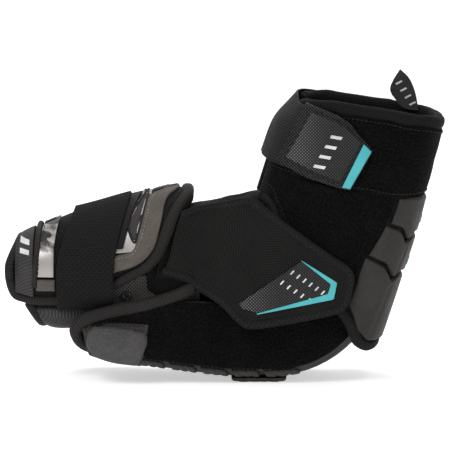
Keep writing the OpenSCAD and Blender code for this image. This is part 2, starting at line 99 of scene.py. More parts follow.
def unit(vectors: np.ndarray) -> np.ndarray:
    """Vectors scaled to a length of 1."""
    return vectors / np.maximum(np.linalg.norm(vectors, axis=-1, keepdims=True), 1e-9)


def smooth(t: np.ndarray | float) -> np.ndarray:
    """An even rise from 0 to 1."""
    t = np.clip(t, 0.0, 1.0)
    return t * t * (3 - 2 * t)


def matched(*values: np.ndarray | float) -> Sequence[np.ndarray]:
    """The values as arrays of one shape."""
    return np.broadcast_arrays(*(np.asarray(value, float) for value in values))


def ripple(points: np.ndarray, size: float, seed: int) -> np.ndarray:
    """Soft waves in space, from about -1 to 1.

    Args:
        points: Places in millimetres.
        size: Length of a wave.
        seed: Start of the random draw.

    Returns:
        One value per place.
    """
    draw = np.random.default_rng(seed)
    total = np.zeros(points.shape[:-1])
    for _ in range(7):
        way = unit(draw.normal(size=3)) * draw.uniform(0.6, 1.5) * 2 * math.pi / size
        total += np.sin(points @ way + draw.uniform(0, 6.3))
    return total / 3.5


class Surface:
    """A face that pieces are laid on: u along it, v degrees across it, d the height over it.

    A v above 0 lies on the near side, and below 0 on the far side.
    """

    def place(self, u: np.ndarray, v: np.ndarray, d: np.ndarray) -> np.ndarray:
        """The places of u, v at height d."""
        raise NotImplementedError

    def locate(self, x: float, z: float) -> tuple[float, float]:
        """The u, v that a side view of the pad shows at x, z."""
        raise NotImplementedError

    def normal(self, u: np.ndarray, v: np.ndarray, d: float = 0.0) -> np.ndarray:
        """Directions straight out of the surface."""
        return unit(self.place(u, v, d + 1.0) - self.place(u, v, d))


class CapSurface(Surface):
    """Outer face of the elbow cap, a trough with a round back."""

    radius = 88.8
    back_deep = 60.8
    corner_most = 34.0
    corner_share = 0.7
    square = 0.55
    floor = Profile([(-108, 21), (-68, 13), (-20, 6), (4, 3.2), (38, 3.2)], 4)
    rim = Profile([(-108, 51), (-81, 57), (-58, 62), (-37, 67), (0, 65), (38, 64)])
    half = Profile([(-108, 51), (-90, 53), (-60, 51), (-10, 47), (6, 46)])

    def place(self, u: np.ndarray, v: np.ndarray, d: np.ndarray) -> np.ndarray:
        """u is a length in front of the elbow axis below 0, and an angle round the back above it."""
        u, v, d = matched(u, v, d)
        x = AXIS_X + np.minimum(u, 0)
        deep = np.where(u < 0, self.rim(x) - self.floor(x), self.back_deep)
        corner = np.minimum(self.corner_most, self.corner_share * deep)
        a = np.radians(np.minimum(np.abs(v), 90))
        q = np.maximum(np.abs(v) - 90, 0) / 90
        y = -np.sign(v) * (self.half(x) + d) * np.sin(a) ** self.square
        h = -d + (corner + d) * (1 - np.clip(np.cos(a), 0, 1) ** self.square) + q * (deep - corner)
        turn = np.radians(np.maximum(u, 0))
        ahead = np.stack([x, y, self.floor(x) + h], -1)
        reach = self.radius - h
        back = np.stack([AXIS_X + reach * np.sin(turn), y, AXIS_Z - reach * np.cos(turn)], -1)
        return np.where((u < 0)[..., None], ahead, back)

    def locate(self, x: float, z: float) -> tuple[float, float]:
        """The u, v at x, z in a side view."""
        if x < AXIS_X:
            u, h, deep = x - AXIS_X, z - self.floor(x), self.rim(x) - self.floor(x)
        else:
            u = math.degrees(math.atan2(x - AXIS_X, AXIS_Z - z))
            h, deep = self.radius - math.hypot(x - AXIS_X, AXIS_Z - z), self.back_deep
        corner = min(self.corner_most, self.corner_share * deep)
        if h < corner:
            return u, math.degrees(math.acos(max(0.0, 1 - max(h, 0) / corner) ** (1 / self.square)))
        return u, 90 + 90 * (h - corner) / (deep - corner)


class CuffSurface(Surface):
    """Outer face of the forearm cuff, a barrel that widens towards the elbow."""

    tuck = 50.0
    round = 0.75
    crown = Profile([(-172, 14), (-168, 19), (-161, 24), (-142, 32), (-121, 41), (-80, 52.5), (-60, 57),
                     (-36, 61.5), (-20, 61)], 3)
    half = Profile([(-172, 37), (-150, 43), (-110, 46), (-60, 50), (-20, 58)])
    low = Profile([(-172, 78), (-166, 69), (-152, 65), (-128, 65), (-88, 79), (-62, 94), (-52, 106),
                   (-46, 124), (-37, 143), (-30, 150), (-24, 154)], 2.5)

    def place(self, u: np.ndarray, v: np.ndarray, d: np.ndarray) -> np.ndarray:
        """u is x, and v the angle from the crown."""
        u, v, d = matched(u, v, d)
        a = np.radians(v)
        y = -spow(np.sin(a), self.round) * (self.half(u) + d)
        z = np.where(np.abs(v) <= 90, self.crown(u) + d, self.tuck + d) * np.cos(a)
        return np.stack([u, y, AXIS_Z + z], -1)

    def locate(self, x: float, z: float) -> tuple[float, float]:
        """The u, v at x, z in a side view."""
        reach = self.crown(x) if z > AXIS_Z else self.tuck
        return x, math.degrees(math.acos(float(np.clip((z - AXIS_Z) / reach, -1, 1))))

    def edge(self, x: float, margin: float = 0.0) -> float:
        """The v of the cuff's lower edge, held back by a margin."""
        return self.locate(x, float(self.low(x)) + margin)[1]


class LowerPadSurface(Surface):
    """Outer face of the small pad under the forearm."""

    rim_z = 66.0
    square = 0.55
    floor = Profile([(-158, 54), (-148, 44), (-134, 40), (-104, 41.5), (-60, 47)], 3)
    half = Profile([(-158, 31), (-140, 36)], 3)

    def place(self, u: np.ndarray, v: np.ndarray, d: np.ndarray) -> np.ndarray:
        """u is x, and v the angle from the bottom."""
        u, v, d = matched(u, v, d)
        a = np.radians(np.minimum(np.abs(v), 90))
        base = self.floor(u)
        y = -np.sign(v) * (self.half(u) + d) * np.sin(a) ** self.square
        h = -d + (self.rim_z - base + d) * (1 - np.clip(np.cos(a), 0, 1) ** self.square)
        return np.stack([u, y, base + h], -1)


class SleeveSurface(Surface):
    """Outer face of the stretch sleeve over the crook of the arm."""

    tuck = 46.0
    round = 0.75
    crown = Profile([(-62, 38), (-35, 46), (-10, 50), (6, 53), (20, 57), (33, 58.5)])
    half = Profile([(-62, 36), (-35, 41), (-10, 45), (20, 47)])

    def place(self, u: np.ndarray, v: np.ndarray, d: np.ndarray) -> np.ndarray:
        """u is x, and v the angle from the top."""
        u, v, d = matched(u, v, d)
        a = np.radians(v)
        y = -spow(np.sin(a), self.round) * (self.half(u) + d)
        z = np.where(np.abs(v) <= 90, self.crown(u) + d, self.tuck + d) * np.cos(a)
        return np.stack([u, y, AXIS_Z + z], -1)


class GuardSurface(Surface):
    """Inside of the bicep guard's wall. v is 0 at the back, 135 where the side ends, 225 in front."""

    lean = math.radians(18)
    half = 49.5
    back_reach = 91.5
    back_corner = 52.0
    front_corner = 5.0
    front_reach = Profile([(-40, 31), (110, 31), (137, 18), (150, 13)], 6)
    taper_from = 60.0
    taper = 0.055
    fabric = 7.0
    square = 0.55
    round = 0.75
    low_edge = Profile([(0, -28), (45, -34), (62, -32), (90, -10), (135, 26), (165, 50), (200, 58)], 3)
    high_edge = Profile([(0, 150), (60, 149), (90, 145), (135, 137), (165, 133), (200, 130)], 4)

    def at(self, s: np.ndarray, r: np.ndarray, y: np.ndarray) -> np.ndarray:
        """A place s up the arm and r back from the elbow axis."""
        cos, sin = math.cos(self.lean), math.sin(self.lean)
        return np.stack([AXIS_X + s * sin + r * cos, y, AXIS_Z + s * cos - r * sin], -1)

    def place(self, u: np.ndarray, v: np.ndarray, d: np.ndarray) -> np.ndarray:
        """u is the height s up the arm."""
        u, v, d = matched(u, v, d)
        past = np.abs(v) > 225
        side = np.where(v < 0, 1.0, -1.0) * np.where(past, -1.0, 1.0)
        a = np.where(past, 450 - np.abs(v), np.abs(v))
        back = self.back_reach - self.back_corner - np.maximum(u - self.taper_from, 0) * self.taper
        corner = np.radians(np.clip(a, 0, 90))
        turn = np.radians(np.clip(a - 135, 0, 90))
        share = np.clip((a - 90) / 45, 0, 1)
        r = np.where(a <= 90, self.back_corner + (back + d) * np.clip(np.cos(corner), 0, 1) ** self.square,
                     self.back_corner + (self.front_corner - self.back_corner) * share)
        r = np.where(a > 135, self.front_corner - (self.front_reach(u) + d) * np.sin(turn) ** self.round, r)
        y = (self.half + d) * np.where(a <= 90, np.sin(corner) ** self.square,
                                       np.clip(np.cos(turn), 0, 1) ** self.round)
        return self.at(u, r, side * y)

    def locate(self, x: float, z: float) -> tuple[float, float]:
        """The s, v at x, z in a side view, at about the height of the outer fabric."""
        cos, sin = math.cos(self.lean), math.sin(self.lean)
        s = (x - AXIS_X) * sin + (z - AXIS_Z) * cos
        r = (x - AXIS_X) * cos - (z - AXIS_Z) * sin
        if r > self.back_corner:
            reach = self.back_reach - self.back_corner + self.fabric
            return s, math.degrees(math.acos(min(1.0, (r - self.back_corner) / reach) ** (1 / self.square)))
        if r > self.front_corner:
            return s, 90 + 45 * (self.back_corner - r) / (self.back_corner - self.front_corner)
        ahead = min(1.0, (self.front_corner - r) / (float(self.front_reach(s)) + self.fabric))
        return s, 135 + math.degrees(math.asin(ahead ** (1 / self.round)))


class DrapeSurface(Surface):
    """Sheet that hangs over the near side. u is x, v is z, and it falls away to the crook."""

    face = -60.0

    def place(self, u: np.ndarray, v: np.ndarray, d: np.ndarray) -> np.ndarray:
        """u and v are x and z."""
        u, v, d = matched(u, v, d)
        under_cuff = 16 * smooth((1 - u) / 28)
        over_crook = 15 * np.clip((v - 122) / 30, 0, 1.2) ** 2 * smooth((10 - u) / 24)
        to_guard = -1.4 * smooth((u - 20) / 40)
        dent = 3.2 * np.exp(-((u + 8) / 17) ** 2 - ((v - 121) / 5.5) ** 2)
        roll = -1.6 * np.exp(-((u + 2) / 22) ** 2 - ((v - 131) / 5) ** 2)
        return np.stack([u, self.face + under_cuff + over_crook + to_guard + dent + roll - d, v], -1)

    def locate(self, x: float, z: float) -> tuple[float, float]:
        """The place itself."""
        return x, z


class FloorSurface(Surface):
    """Level face that looks down. u is x and v is y."""

    level = 2.6

    def place(self, u: np.ndarray, v: np.ndarray, d: np.ndarray) -> np.ndarray:
        """Height d runs down from the level."""
        u, v, d = matched(u, v, d)
        return np.stack([u, v, self.level - d], -1)


CAP = CapSurface()
CUFF = CuffSurface()
LOWER_PAD = LowerPadSurface()
SLEEVE = SleeveSurface()
GUARD = GuardSurface()
DRAPE = DrapeSurface()
FLOOR = FloorSurface()


# ---- Meshes ----


def free_name(name: str) -> str:
    """A piece that stands for the node of its own name is called its skin."""
    return name + "_skin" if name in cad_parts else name


def new_piece(name: str, points: np.ndarray, faces: Sequence[Sequence[int]],
              uvs: np.ndarray | None = None, rims: np.ndarray | None = None) -> bpy.types.Object:
    """Makes a smooth shaded piece.

    Args:
        name: Name of the piece.
        points: Places in millimetres.
        faces: Corners of each face.
        uvs: For each point, its place on the cloth in millimetres.
        rims: For each point, 1 on a worn edge and 0 in the open.

    Returns:
        The new object.
    """
    name = free_name(name)
    mesh = bpy.data.meshes.new(name)
    mesh.from_pydata((points * MM).tolist(), [], faces)
    corners = np.empty(len(mesh.loops), np.int32)
    mesh.loops.foreach_get("vertex_index", corners)
    layer = mesh.uv_layers.new(name="UVMap")
    flat = points[:, [0, 2]] if uvs is None else uvs
    layer.data.foreach_set("uv", (flat[corners] * MM).astype(np.float32).ravel())
    wear = mesh.attributes.new("rim", "FLOAT", "POINT")
    wear.data.foreach_set("value", np.zeros(len(points)) if rims is None else rims.astype(float))
    mesh.polygons.foreach_set("use_smooth", np.ones(len(mesh.polygons), bool))
    mesh.validate()
    piece = bpy.data.objects.new(name, mesh)
    bpy.context.scene.collection.objects.link(piece)
    return piece


def outward(points: np.ndarray, faces: list) -> list:
    """Turns the faces of a closed mesh so that they look outwards."""
    tri = np.array([f[:3] for f in faces])
    quad = np.array([(f[0], f[2], f[3]) for f in faces if len(f) == 4])
    middle = points.mean(0)
    volume = sum(np.einsum("ij,ij->", points[t[:, 0]] - middle,
                           np.cross(points[t[:, 1]] - middle, points[t[:, 2]] - middle))
                 for t in (tri, quad) if len(t))
    return faces if volume > 0 else [tuple(reversed(f)) for f in faces]


def resample(points: np.ndarray, count: int) -> np.ndarray:
    """Spreads count points evenly along a line of points."""
    run = np.concatenate([[0], np.cumsum(np.linalg.norm(np.diff(points, axis=0), axis=1))])
    at = np.linspace(0, run[-1], count)
    return np.stack([np.interp(at, run, points[:, k]) for k in range(points.shape[1])], -1)


def fair(points: Pairs, count: int = 60, closed: bool = False) -> np.ndarray:
    """A smooth line through a few points (Catmull-Rom), or a straight one through two."""
    p = np.array(points, float)
    if len(p) < 3:
        return resample(p, count)
    ends = (p[-1:], p[:2]) if closed else (2 * p[:1] - p[1:2], 2 * p[-1:] - p[-2:-1])
    q = np.concatenate([ends[0], p, ends[1]])
    t = np.linspace(0, 1, 13)[:-1, None]
    runs = [0.5 * (2 * b + (c - a) * t + (2 * a - 5 * b + 4 * c - d) * t ** 2
                   + (3 * b - a - 3 * c + d) * t ** 3)
            for a, b, c, d in zip(q, q[1:], q[2:], q[3:])]
    return resample(np.concatenate(runs + [q[-2:-1]]), count)


def stations(length: float, step: float, rim: float) -> np.ndarray:
    """Shares of a length, close together within the rounded rim at both ends."""
    near = rim * np.array([0, 0.07, 0.22, 0.45, 0.72, 1.0])
    near *= min(1.0, 0.4 * length / near[-1])
    count = max(2, math.ceil((length - 2 * near[-1]) / step) + 1)
    middle = np.linspace(near[-1], length - near[-1], count)
    return np.concatenate([near[:-1], middle, length - near[:-1][::-1]]) / length


def span(points: np.ndarray) -> float:
    """Length of a line of points."""
    return float(np.linalg.norm(np.diff(points, axis=0), axis=1).sum())


# Points in each side of a panel, before its mesh is laid out
SIDE_POINTS = 90


@dataclass
class Panel:
    """A closed piece of cloth, foam or print that lies on a surface and has rounded edges.

    Its four sides are lines of points. bottom and top run the same way, and so do left and right.
    left and right are straight where they are not given. All are in u, v, or in x, z if seen.

    Attributes:
        surface: The surface that it lies on.
        low: Height over the surface of its plain face.
        high: Height of its shown face, which has the crown, the wrinkles and the relief.
        rim: Width of the rounded edge.
        step: Size of the mesh's faces.
        crown: Extra height in the middle.
        seen: Whether the sides are given as a side view of the pad shows them.
        sharp: Whether the sides keep their corners.
        wrinkle: Height of the wrinkles.
        wave: Length of a wrinkle.
        seed: Start of the wrinkles' random draw.
        relief: Extra height, from the shares from left to right and from bottom to top, and the place.
        under: How far the plain face takes part in following the shown one, from 0 to 1.
        follow: Share of the shown face's height that it then follows.
    """

    surface: Surface
    bottom: Pairs
    top: Pairs
    left: Pairs = ()
    right: Pairs = ()
    low: float = 0.0
    high: float = 1.5
    rim: float = 1.2
    step: float = 2.5
    crown: float = 0.0
    seen: bool = False
    sharp: bool = False
    wrinkle: float = 0.0
    wave: float = 30.0
    seed: int = 1
    relief: Callable[[np.ndarray, np.ndarray, np.ndarray], np.ndarray] | None = None
    under: float = 0.0
    follow: float = 0.35

    def line(self, points: Pairs) -> np.ndarray:
        """One side of the panel as an even line in u, v."""
        run = resample(np.array(points, float), SIDE_POINTS) if self.sharp else fair(points, SIDE_POINTS)
        if self.seen:
            run = np.array([self.surface.locate(x, z) for x, z in run])
        at = self.surface.place(run[:, 0], run[:, 1], self.low)
        length = np.concatenate([[0], np.cumsum(np.linalg.norm(np.diff(at, axis=0), axis=1))])
        share = np.linspace(0, max(length[-1], 1e-6), SIDE_POINTS)
        return np.stack([np.interp(share, length, run[:, k]) for k in (0, 1)], -1)

    def grid(self) -> tuple[np.ndarray, np.ndarray]:
        """u and v of the panel's grid."""
        bottom, top = self.line(self.bottom), self.line(self.top)
        left = self.line(self.left or (self.bottom[0], self.top[0]))
        right = self.line(self.right or (self.bottom[-1], self.top[-1]))
        wide = max(span(self.surface.place(*w.T, self.low)) for w in (bottom, top))
        tall = max(span(self.surface.place(*w.T, self.low)) for w in (left, right))
        s, t = stations(wide, self.step, self.rim), stations(tall, self.step, self.rim)

        def take(run: np.ndarray, share: np.ndarray) -> np.ndarray:
            """Points of a line at shares of its length."""
            known = np.linspace(0, 1, SIDE_POINTS)
            return np.stack([np.interp(share, known, run[:, k]) for k in (0, 1)], -1)

        b, u = take(bottom, s)[:, None], take(top, s)[:, None]
        f, r = take(left, t)[None], take(right, t)[None]
        p, q = s[:, None, None], t[None, :, None]
        flat = ((1 - q) * b + q * u + (1 - p) * f + p * r - (1 - p) * (1 - q) * b[0] - p * (1 - q) * b[-1]
                - (1 - p) * q * u[0] - p * q * u[-1])
        return flat[..., 0], flat[..., 1]

    def build(self, name: str, side: Side = Side.NEAR) -> bpy.types.Object:
        """Builds the panel.

        Args:
            name: Name of the piece.
            side: The side of the pad that it lies on.

        Returns:
            The piece.
        """
        u, v = self.grid()
        v = v if isinstance(self.surface, DrapeSurface) else v * side.value
        base = self.surface.place(u, v, self.low)
        along = np.zeros(u.shape)
        along[1:] = np.cumsum(np.linalg.norm(np.diff(base, axis=0), axis=2), axis=0)
        across = np.zeros(u.shape)
        across[:, 1:] = np.cumsum(np.linalg.norm(np.diff(base, axis=1), axis=2), axis=1)
        fall = [np.minimum(w / self.rim, 1) for w in
                (along, along[-1:] - along, across, across[:, -1:] - across)]
        rise = np.prod([np.sqrt(np.clip(1 - (1 - w) ** 2, 0, 1)) for w in fall], axis=0)
        a, b = along / along[-1:].clip(1e-6), across / across[:, -1:].clip(1e-6)
        dome = self.crown * (16 * a * (1 - a) * b * (1 - b)) ** 0.6
        height = self.low + (self.high - self.low) * rise + dome
        height = height + self.wrinkle * ripple(base, self.wave, self.seed) * rise
        if self.relief:
            height = height + self.relief(a, b, base) * rise
        edges = np.diff(base, axis=0)[:, :-1], np.diff(base, axis=1)[:-1]
        area = np.linalg.norm(np.cross(*edges), axis=2).sum()
        inner = self.low + (height - self.low) * self.follow * self.under
        over, under = self.surface.place(u, v, height), self.surface.place(u, v, inner)
        return self.closed(name, over, under, np.stack([along, across], -1), 1 - rise)

    @staticmethod
    def closed(name: str, over: np.ndarray, under: np.ndarray, cloth: np.ndarray,
               worn: np.ndarray) -> bpy.types.Object:
        """Joins an outer and an inner grid at their shared edge."""
        rows, cols = worn.shape
        top = np.arange(rows * cols).reshape(rows, cols)
        inside = np.zeros(worn.shape, bool)
        inside[1:-1, 1:-1] = True
        bottom = top.copy()
        bottom[inside] = rows * cols + np.arange(inside.sum())
        points = np.concatenate([over.reshape(-1, 3), under[inside]])
        uvs = np.concatenate([cloth.reshape(-1, 2), cloth[inside]])
        half_worn = np.full(inside.sum(), 0.4)
        rims = np.concatenate([worn.ravel(), half_worn])

        def quads(ids: np.ndarray) -> np.ndarray:
            """Faces of a grid of point numbers."""
            return np.stack([ids[:-1, :-1], ids[1:, :-1], ids[1:, 1:], ids[:-1, 1:]], -1).reshape(-1, 4)

        faces = [tuple(f) for f in quads(top)] + [tuple(f[::-1]) for f in quads(bottom)]
        return new_piece(name, points, outward(points, faces), uvs, rims)


def between(left: Pairs, right: Pairs) -> tuple[Pairs, Pairs, Pairs, Pairs]:
    """A panel's bottom, top, left and right, with a straight bottom and top."""
    return [left[0], right[0]], [left[-1], right[-1]], left, right


def oval(wide: float, tall: float, count: int = 14, boxy: float = 0.8) -> np.ndarray:
    """Outline of a flattened round section, wide across and tall upwards."""
    turn = np.linspace(0, 2 * math.pi, count + 1)[:-1]
    return np.stack([wide * spow(np.cos(turn), boxy), tall * spow(np.sin(turn), boxy)], -1)


def sweep(name: str, centres: np.ndarray, ups: np.ndarray, section: np.ndarray, closed: bool = False,
          swell: np.ndarray | None = None) -> bpy.types.Object:
    """Runs a section along a line of points, with rounded ends.

    Args:
        name: Name of the piece.
        centres: The line in millimetres.
        ups: For each point, the direction of the section's second coordinate.
        section: Outline of the section.
        closed: Whether the line joins its own start.
        swell: For each point, how much the section grows.

    Returns:
        The piece.
    """
    count, sides = len(centres), len(section)
    if closed:
        ahead = unit(np.roll(centres, -1, 0) - np.roll(centres, 1, 0))
    else:
        ahead = unit(np.gradient(centres, axis=0))
    across = unit(np.cross(ahead, ups))
    ups = np.cross(across, ahead)
    grow = (np.ones(count) if swell is None else swell)[:, None, None]
    offsets = section[None, :, :1] * across[:, None] + section[None, :, 1:] * ups[:, None]
    rings = centres[:, None] + grow * offsets
    if not closed:
        reach = float(np.abs(section).max())
        tips = []
        for place, ring, way in ((centres[0], rings[0], -ahead[0]), (centres[-1], rings[-1], ahead[-1])):
            tips.append([place + way * reach * 0.5 * share + (ring - place) * math.sqrt(1 - share ** 2)
                         for share in (0.5, 0.85, 0.99)])
        rings = np.concatenate([np.array(tips[0][::-1]), rings, np.array(tips[1])])
    count = len(rings)
    ids = np.arange(count * sides).reshape(count, sides)
    nxt = np.roll(ids, -1, 1)
    rows = range(count if closed else count - 1)
    faces = [(int(ids[i, k]), int(ids[(i + 1) % count, k]), int(nxt[(i + 1) % count, k]), int(nxt[i, k]))
             for i in rows for k in range(sides)]
    if not closed:
        faces += [tuple(int(w) for w in ids[0]), tuple(int(w) for w in ids[-1][::-1])]
    points = rings.reshape(-1, 3)
    run = np.concatenate([[0], np.cumsum(np.linalg.norm(np.diff(rings.mean(1), axis=0), axis=1))])
    girth = np.concatenate([[0], np.cumsum(np.linalg.norm(np.diff(section, axis=0), axis=1))])
    uvs = np.stack(np.broadcast_arrays(run[:, None], girth[None]), -1).reshape(-1, 2)
    return new_piece(name, points, outward(points, faces), uvs)


def along_surface(surface: Surface, places: np.ndarray, d: float, step: float = 2.0,
                  side: Side = Side.NEAR) -> tuple[np.ndarray, np.ndarray]:
    """An even line over a surface, with the directions out of it.

    Args:
        surface: The surface.
        places: u, v points.
        d: Height over the surface.
        step: Distance between the points of the result.
        side: The side of the pad.

    Returns:
        The points and the directions.
    """
    u, v = places[:, 0], places[:, 1] * side.value
    if isinstance(surface, DrapeSurface):
        v = places[:, 1]
    at = surface.place(u, v, d)
    run = np.concatenate([[0], np.cumsum(np.linalg.norm(np.diff(at, axis=0), axis=1))])
    even = np.linspace(0, run[-1], max(3, int(run[-1] / step) + 1))
    u, v = np.interp(even, run, u), np.interp(even, run, v)
    return surface.place(u, v, d), surface.normal(u, v, d)


def seen_line(surface: Surface, points: Pairs, count: int = 60, straight: bool = False) -> np.ndarray:
    """u, v of a line given as it shows in a side view."""
    run = resample(np.array(points, float), count) if straight else fair(points, count)
    return np.array([surface.locate(x, z) for x, z in run])


def ribbed(count: int, length: float, pitch: float, depth: float) -> np.ndarray:
    """Swelling of a cord with fine ribs across it."""
    return 1 + depth * np.abs(np.sin(np.linspace(0, math.pi * length / pitch, count)))


class Stitching:
    """Rows of stitches that end up in one piece."""

    step = 0.5

    def __init__(self) -> None:
        """Starts with no stitch."""
        self.starts: list[np.ndarray] = []
        self.ends: list[np.ndarray] = []
        self.ups: list[np.ndarray] = []

    def row(self, surface: Surface, places: np.ndarray, d: float, side: Side = Side.NEAR,
            length: float = 2.6, space: float = 1.1, swing: float = 0.0) -> None:
        """Adds a row along places on a surface, straight or zigzag.

        Args:
            surface: The surface.
            places: u, v points of the row.
            d: Height over the surface.
            side: The side of the pad.
            length: Length of a stitch.
            space: Distance between two stitches.
            swing: Half the width of a zigzag.
        """
        at, ups = along_surface(surface, places, d, self.step, side)
        pitch = max(2, round((length + space) / self.step))
        across = unit(np.cross(np.gradient(at, axis=0), ups))
        first = np.arange(0, len(at) - pitch, pitch)
        last = first + (pitch if swing else max(1, round(length / self.step)))
        flip = np.where(np.arange(len(first)) % 2, swing, -swing)[:, None]
        self.starts.append(at[first] + across[first] * flip)
        self.ends.append(at[last] - across[last] * flip)
        self.ups.append(ups[first])

    def build(self, name: str, thick: float = 0.36, arch: float = 0.3) -> bpy.types.Object:
        """Makes all the stitches as one piece."""
        a, b, up = (np.concatenate(w)[:, None, None] for w in (self.starts, self.ends, self.ups))
        t = np.array([0, 0.15, 0.5, 0.85, 1.0])[None, :, None, None]
        girth = np.array([0.3, 0.9, 1.1, 0.9, 0.3])[None, :, None, None] * thick
        turn = np.linspace(0, 2 * math.pi, 7)[:-1][None, None, :, None]
        across = unit(np.cross(b - a, up))
        middle = a + (b - a) * t + up * arch * np.sin(math.pi * t)
        points = middle + girth * (np.cos(turn) * across + np.sin(turn) * up)
        ids = np.arange(points[..., 0].size).reshape(points.shape[:3])
        nxt = np.roll(ids, -1, 2)
        quads = np.stack([ids[:, :-1], nxt[:, :-1], nxt[:, 1:], ids[:, 1:]], -1).reshape(-1, 4)
        faces = [tuple(f) for f in quads.tolist()]
        faces += [tuple(f) for f in ids[:, 0, ::-1].tolist()] + [tuple(f) for f in ids[:, -1].tolist()]
        return new_piece(name, points.reshape(-1, 3), faces)


def puff(piece: bpy.types.Object, most: float, voxel: float, pressure: float,
         hold: Callable[[np.ndarray], np.ndarray], frames: int = 16) -> None:
    """Swells a padded piece by cloth simulation, and keeps the result in its mesh.

    Args:
        piece: The piece, a closed mesh.
        most: The furthest that a point may move, in millimetres.
        voxel: Size of the remeshed faces, in millimetres.
        pressure: Pressure inside the pad.
        hold: For points in millimetres, how firmly each is sewn down, from 0 to 1.
        frames: Length of the simulation.
    """
    scene = bpy.context.scene
    bpy.ops.object.select_all(action="DESELECT")
    bpy.context.view_layer.objects.active = piece
    piece.select_set(True)
    remesh = piece.modifiers.new("voxels", "REMESH")
    remesh.mode = "VOXEL"
    remesh.voxel_size = voxel * MM
    bpy.ops.object.modifier_apply(modifier=remesh.name)
    start = np.empty(len(piece.data.vertices) * 3)
    piece.data.vertices.foreach_get("co", start)
    start = start.reshape(-1, 3)
    firm = np.clip(hold(start / MM), 0, 1)
    group = piece.vertex_groups.new(name="sewn")
    for index, weight in enumerate(firm):
        group.add([index], float(weight), "REPLACE")
    cloth = piece.modifiers.new("swell", "CLOTH")
    cloth.settings.use_pressure = True
    cloth.settings.uniform_pressure_force = pressure
    cloth.settings.effector_weights.gravity = 0
    cloth.settings.vertex_group_mass = group.name
    cloth.settings.quality = 4
    cloth.point_cache.frame_start, cloth.point_cache.frame_end = 1, frames
    for index in range(1, frames + 1):
        scene.frame_set(index)
    ready = piece.evaluated_get(bpy.context.evaluated_depsgraph_get())
    swollen = np.empty(len(start) * 3)
    ready.data.vertices.foreach_get("co", swollen)
    moved = swollen.reshape(-1, 3) - start
    reach = np.linalg.norm(moved, axis=1, keepdims=True)
    moved *= np.minimum(1, most * MM / np.maximum(reach, 1e-9))
    piece.modifiers.remove(cloth)
    piece.data.vertices.foreach_set("co", (start + moved).ravel())
    soften = piece.modifiers.new("soften", "SUBSURF")
    soften.levels = soften.render_levels = 1
    bpy.ops.object.modifier_apply(modifier=soften.name)
    piece.vertex_groups.clear()
    piece.data.polygons.foreach_set("use_smooth", np.ones(len(piece.data.polygons), bool))
    scene.frame_set(1)


# ---- Finishes ----


def ink(red: int, green: int, blue: int) -> tuple[float, float, float, float]:
    """A colour from its display values, 0 to 255."""
    linear = [c / 12.92 if c <= 0.04045 else ((c + 0.055) / 1.055) ** 2.4
              for c in (red / 255, green / 255, blue / 255)]
    return (*linear, 1.0)


class Pattern(Enum):
    """How the face of a material is made."""

    PILE = "short loops that stand up"
    WEAVE = "threads over and under each other"
    RIBS = "cords side by side"
    HOLES = "rows of small holes"
    PINHOLES = "small holes in finely ribbed elastic"
    DOTS = "printed dots on a slant"
    GRAIN = "moulded grain"
    FLAKES = "metallic film in angular patches"
    SMOOTH = "ink or polished plastic"


class Shader:
    """Builds the nodes of one material."""

    def __init__(self, name: str) -> None:
        """Starts a new material with its main shader."""
        self.material = bpy.data.materials.new(name)
        self.material.use_nodes = True
        self.tree = self.material.node_tree
        self.face = self.tree.nodes["Principled BSDF"]

    def add(self, kind: str, inputs: dict, **settings: object) -> bpy.types.Node:
        """Adds a node.

        Args:
            kind: The node's type.
            inputs: Values or sockets by input name or number.
            **settings: Attributes of the node.

        Returns:
            The node.
        """
        node = self.tree.nodes.new(kind)
        for key, value in settings.items():
            setattr(node, key, value)
        for key, value in inputs.items():
            self.feed(node.inputs[key], value)
        return node

    def feed(self, socket: bpy.types.NodeSocket, value: object) -> None:
        """Sets or links an input."""
        if isinstance(value, bpy.types.NodeSocket):
            self.tree.links.new(value, socket)
        else:
            socket.default_value = value

    def sum(self, kind: str, a: object, b: object = 0.0, clamp: bool = False) -> bpy.types.NodeSocket:
        """Result of a sum on one or two numbers."""
        return self.add("ShaderNodeMath", {0: a, 1: b}, operation=kind, use_clamp=clamp).outputs[0]

    def noise(self, at: bpy.types.NodeSocket, size: float, detail: float = 2.0) -> bpy.types.NodeSocket:
        """Cloudy values from 0 to 1 with patches of a size in millimetres."""
        made = self.add("ShaderNodeTexNoise", {"Vector": at, "Scale": 1 / size, "Detail": detail})
        return made.outputs["Fac"]

    def step(self, value: object, low: float, high: float) -> bpy.types.NodeSocket:
        """A smooth rise from 0 at low to 1 at high."""
        made = self.add("ShaderNodeMapRange", {"Value": value, "From Min": low, "From Max": high},
                        interpolation_type="SMOOTHSTEP")
        return made.outputs["Result"]

    def mix(self, share: object, a: object, b: object) -> bpy.types.NodeSocket:
        """A colour between a and b."""
        made = self.add("ShaderNodeMix", {0: share, 6: a, 7: b}, data_type="RGBA")
        return made.outputs[2]


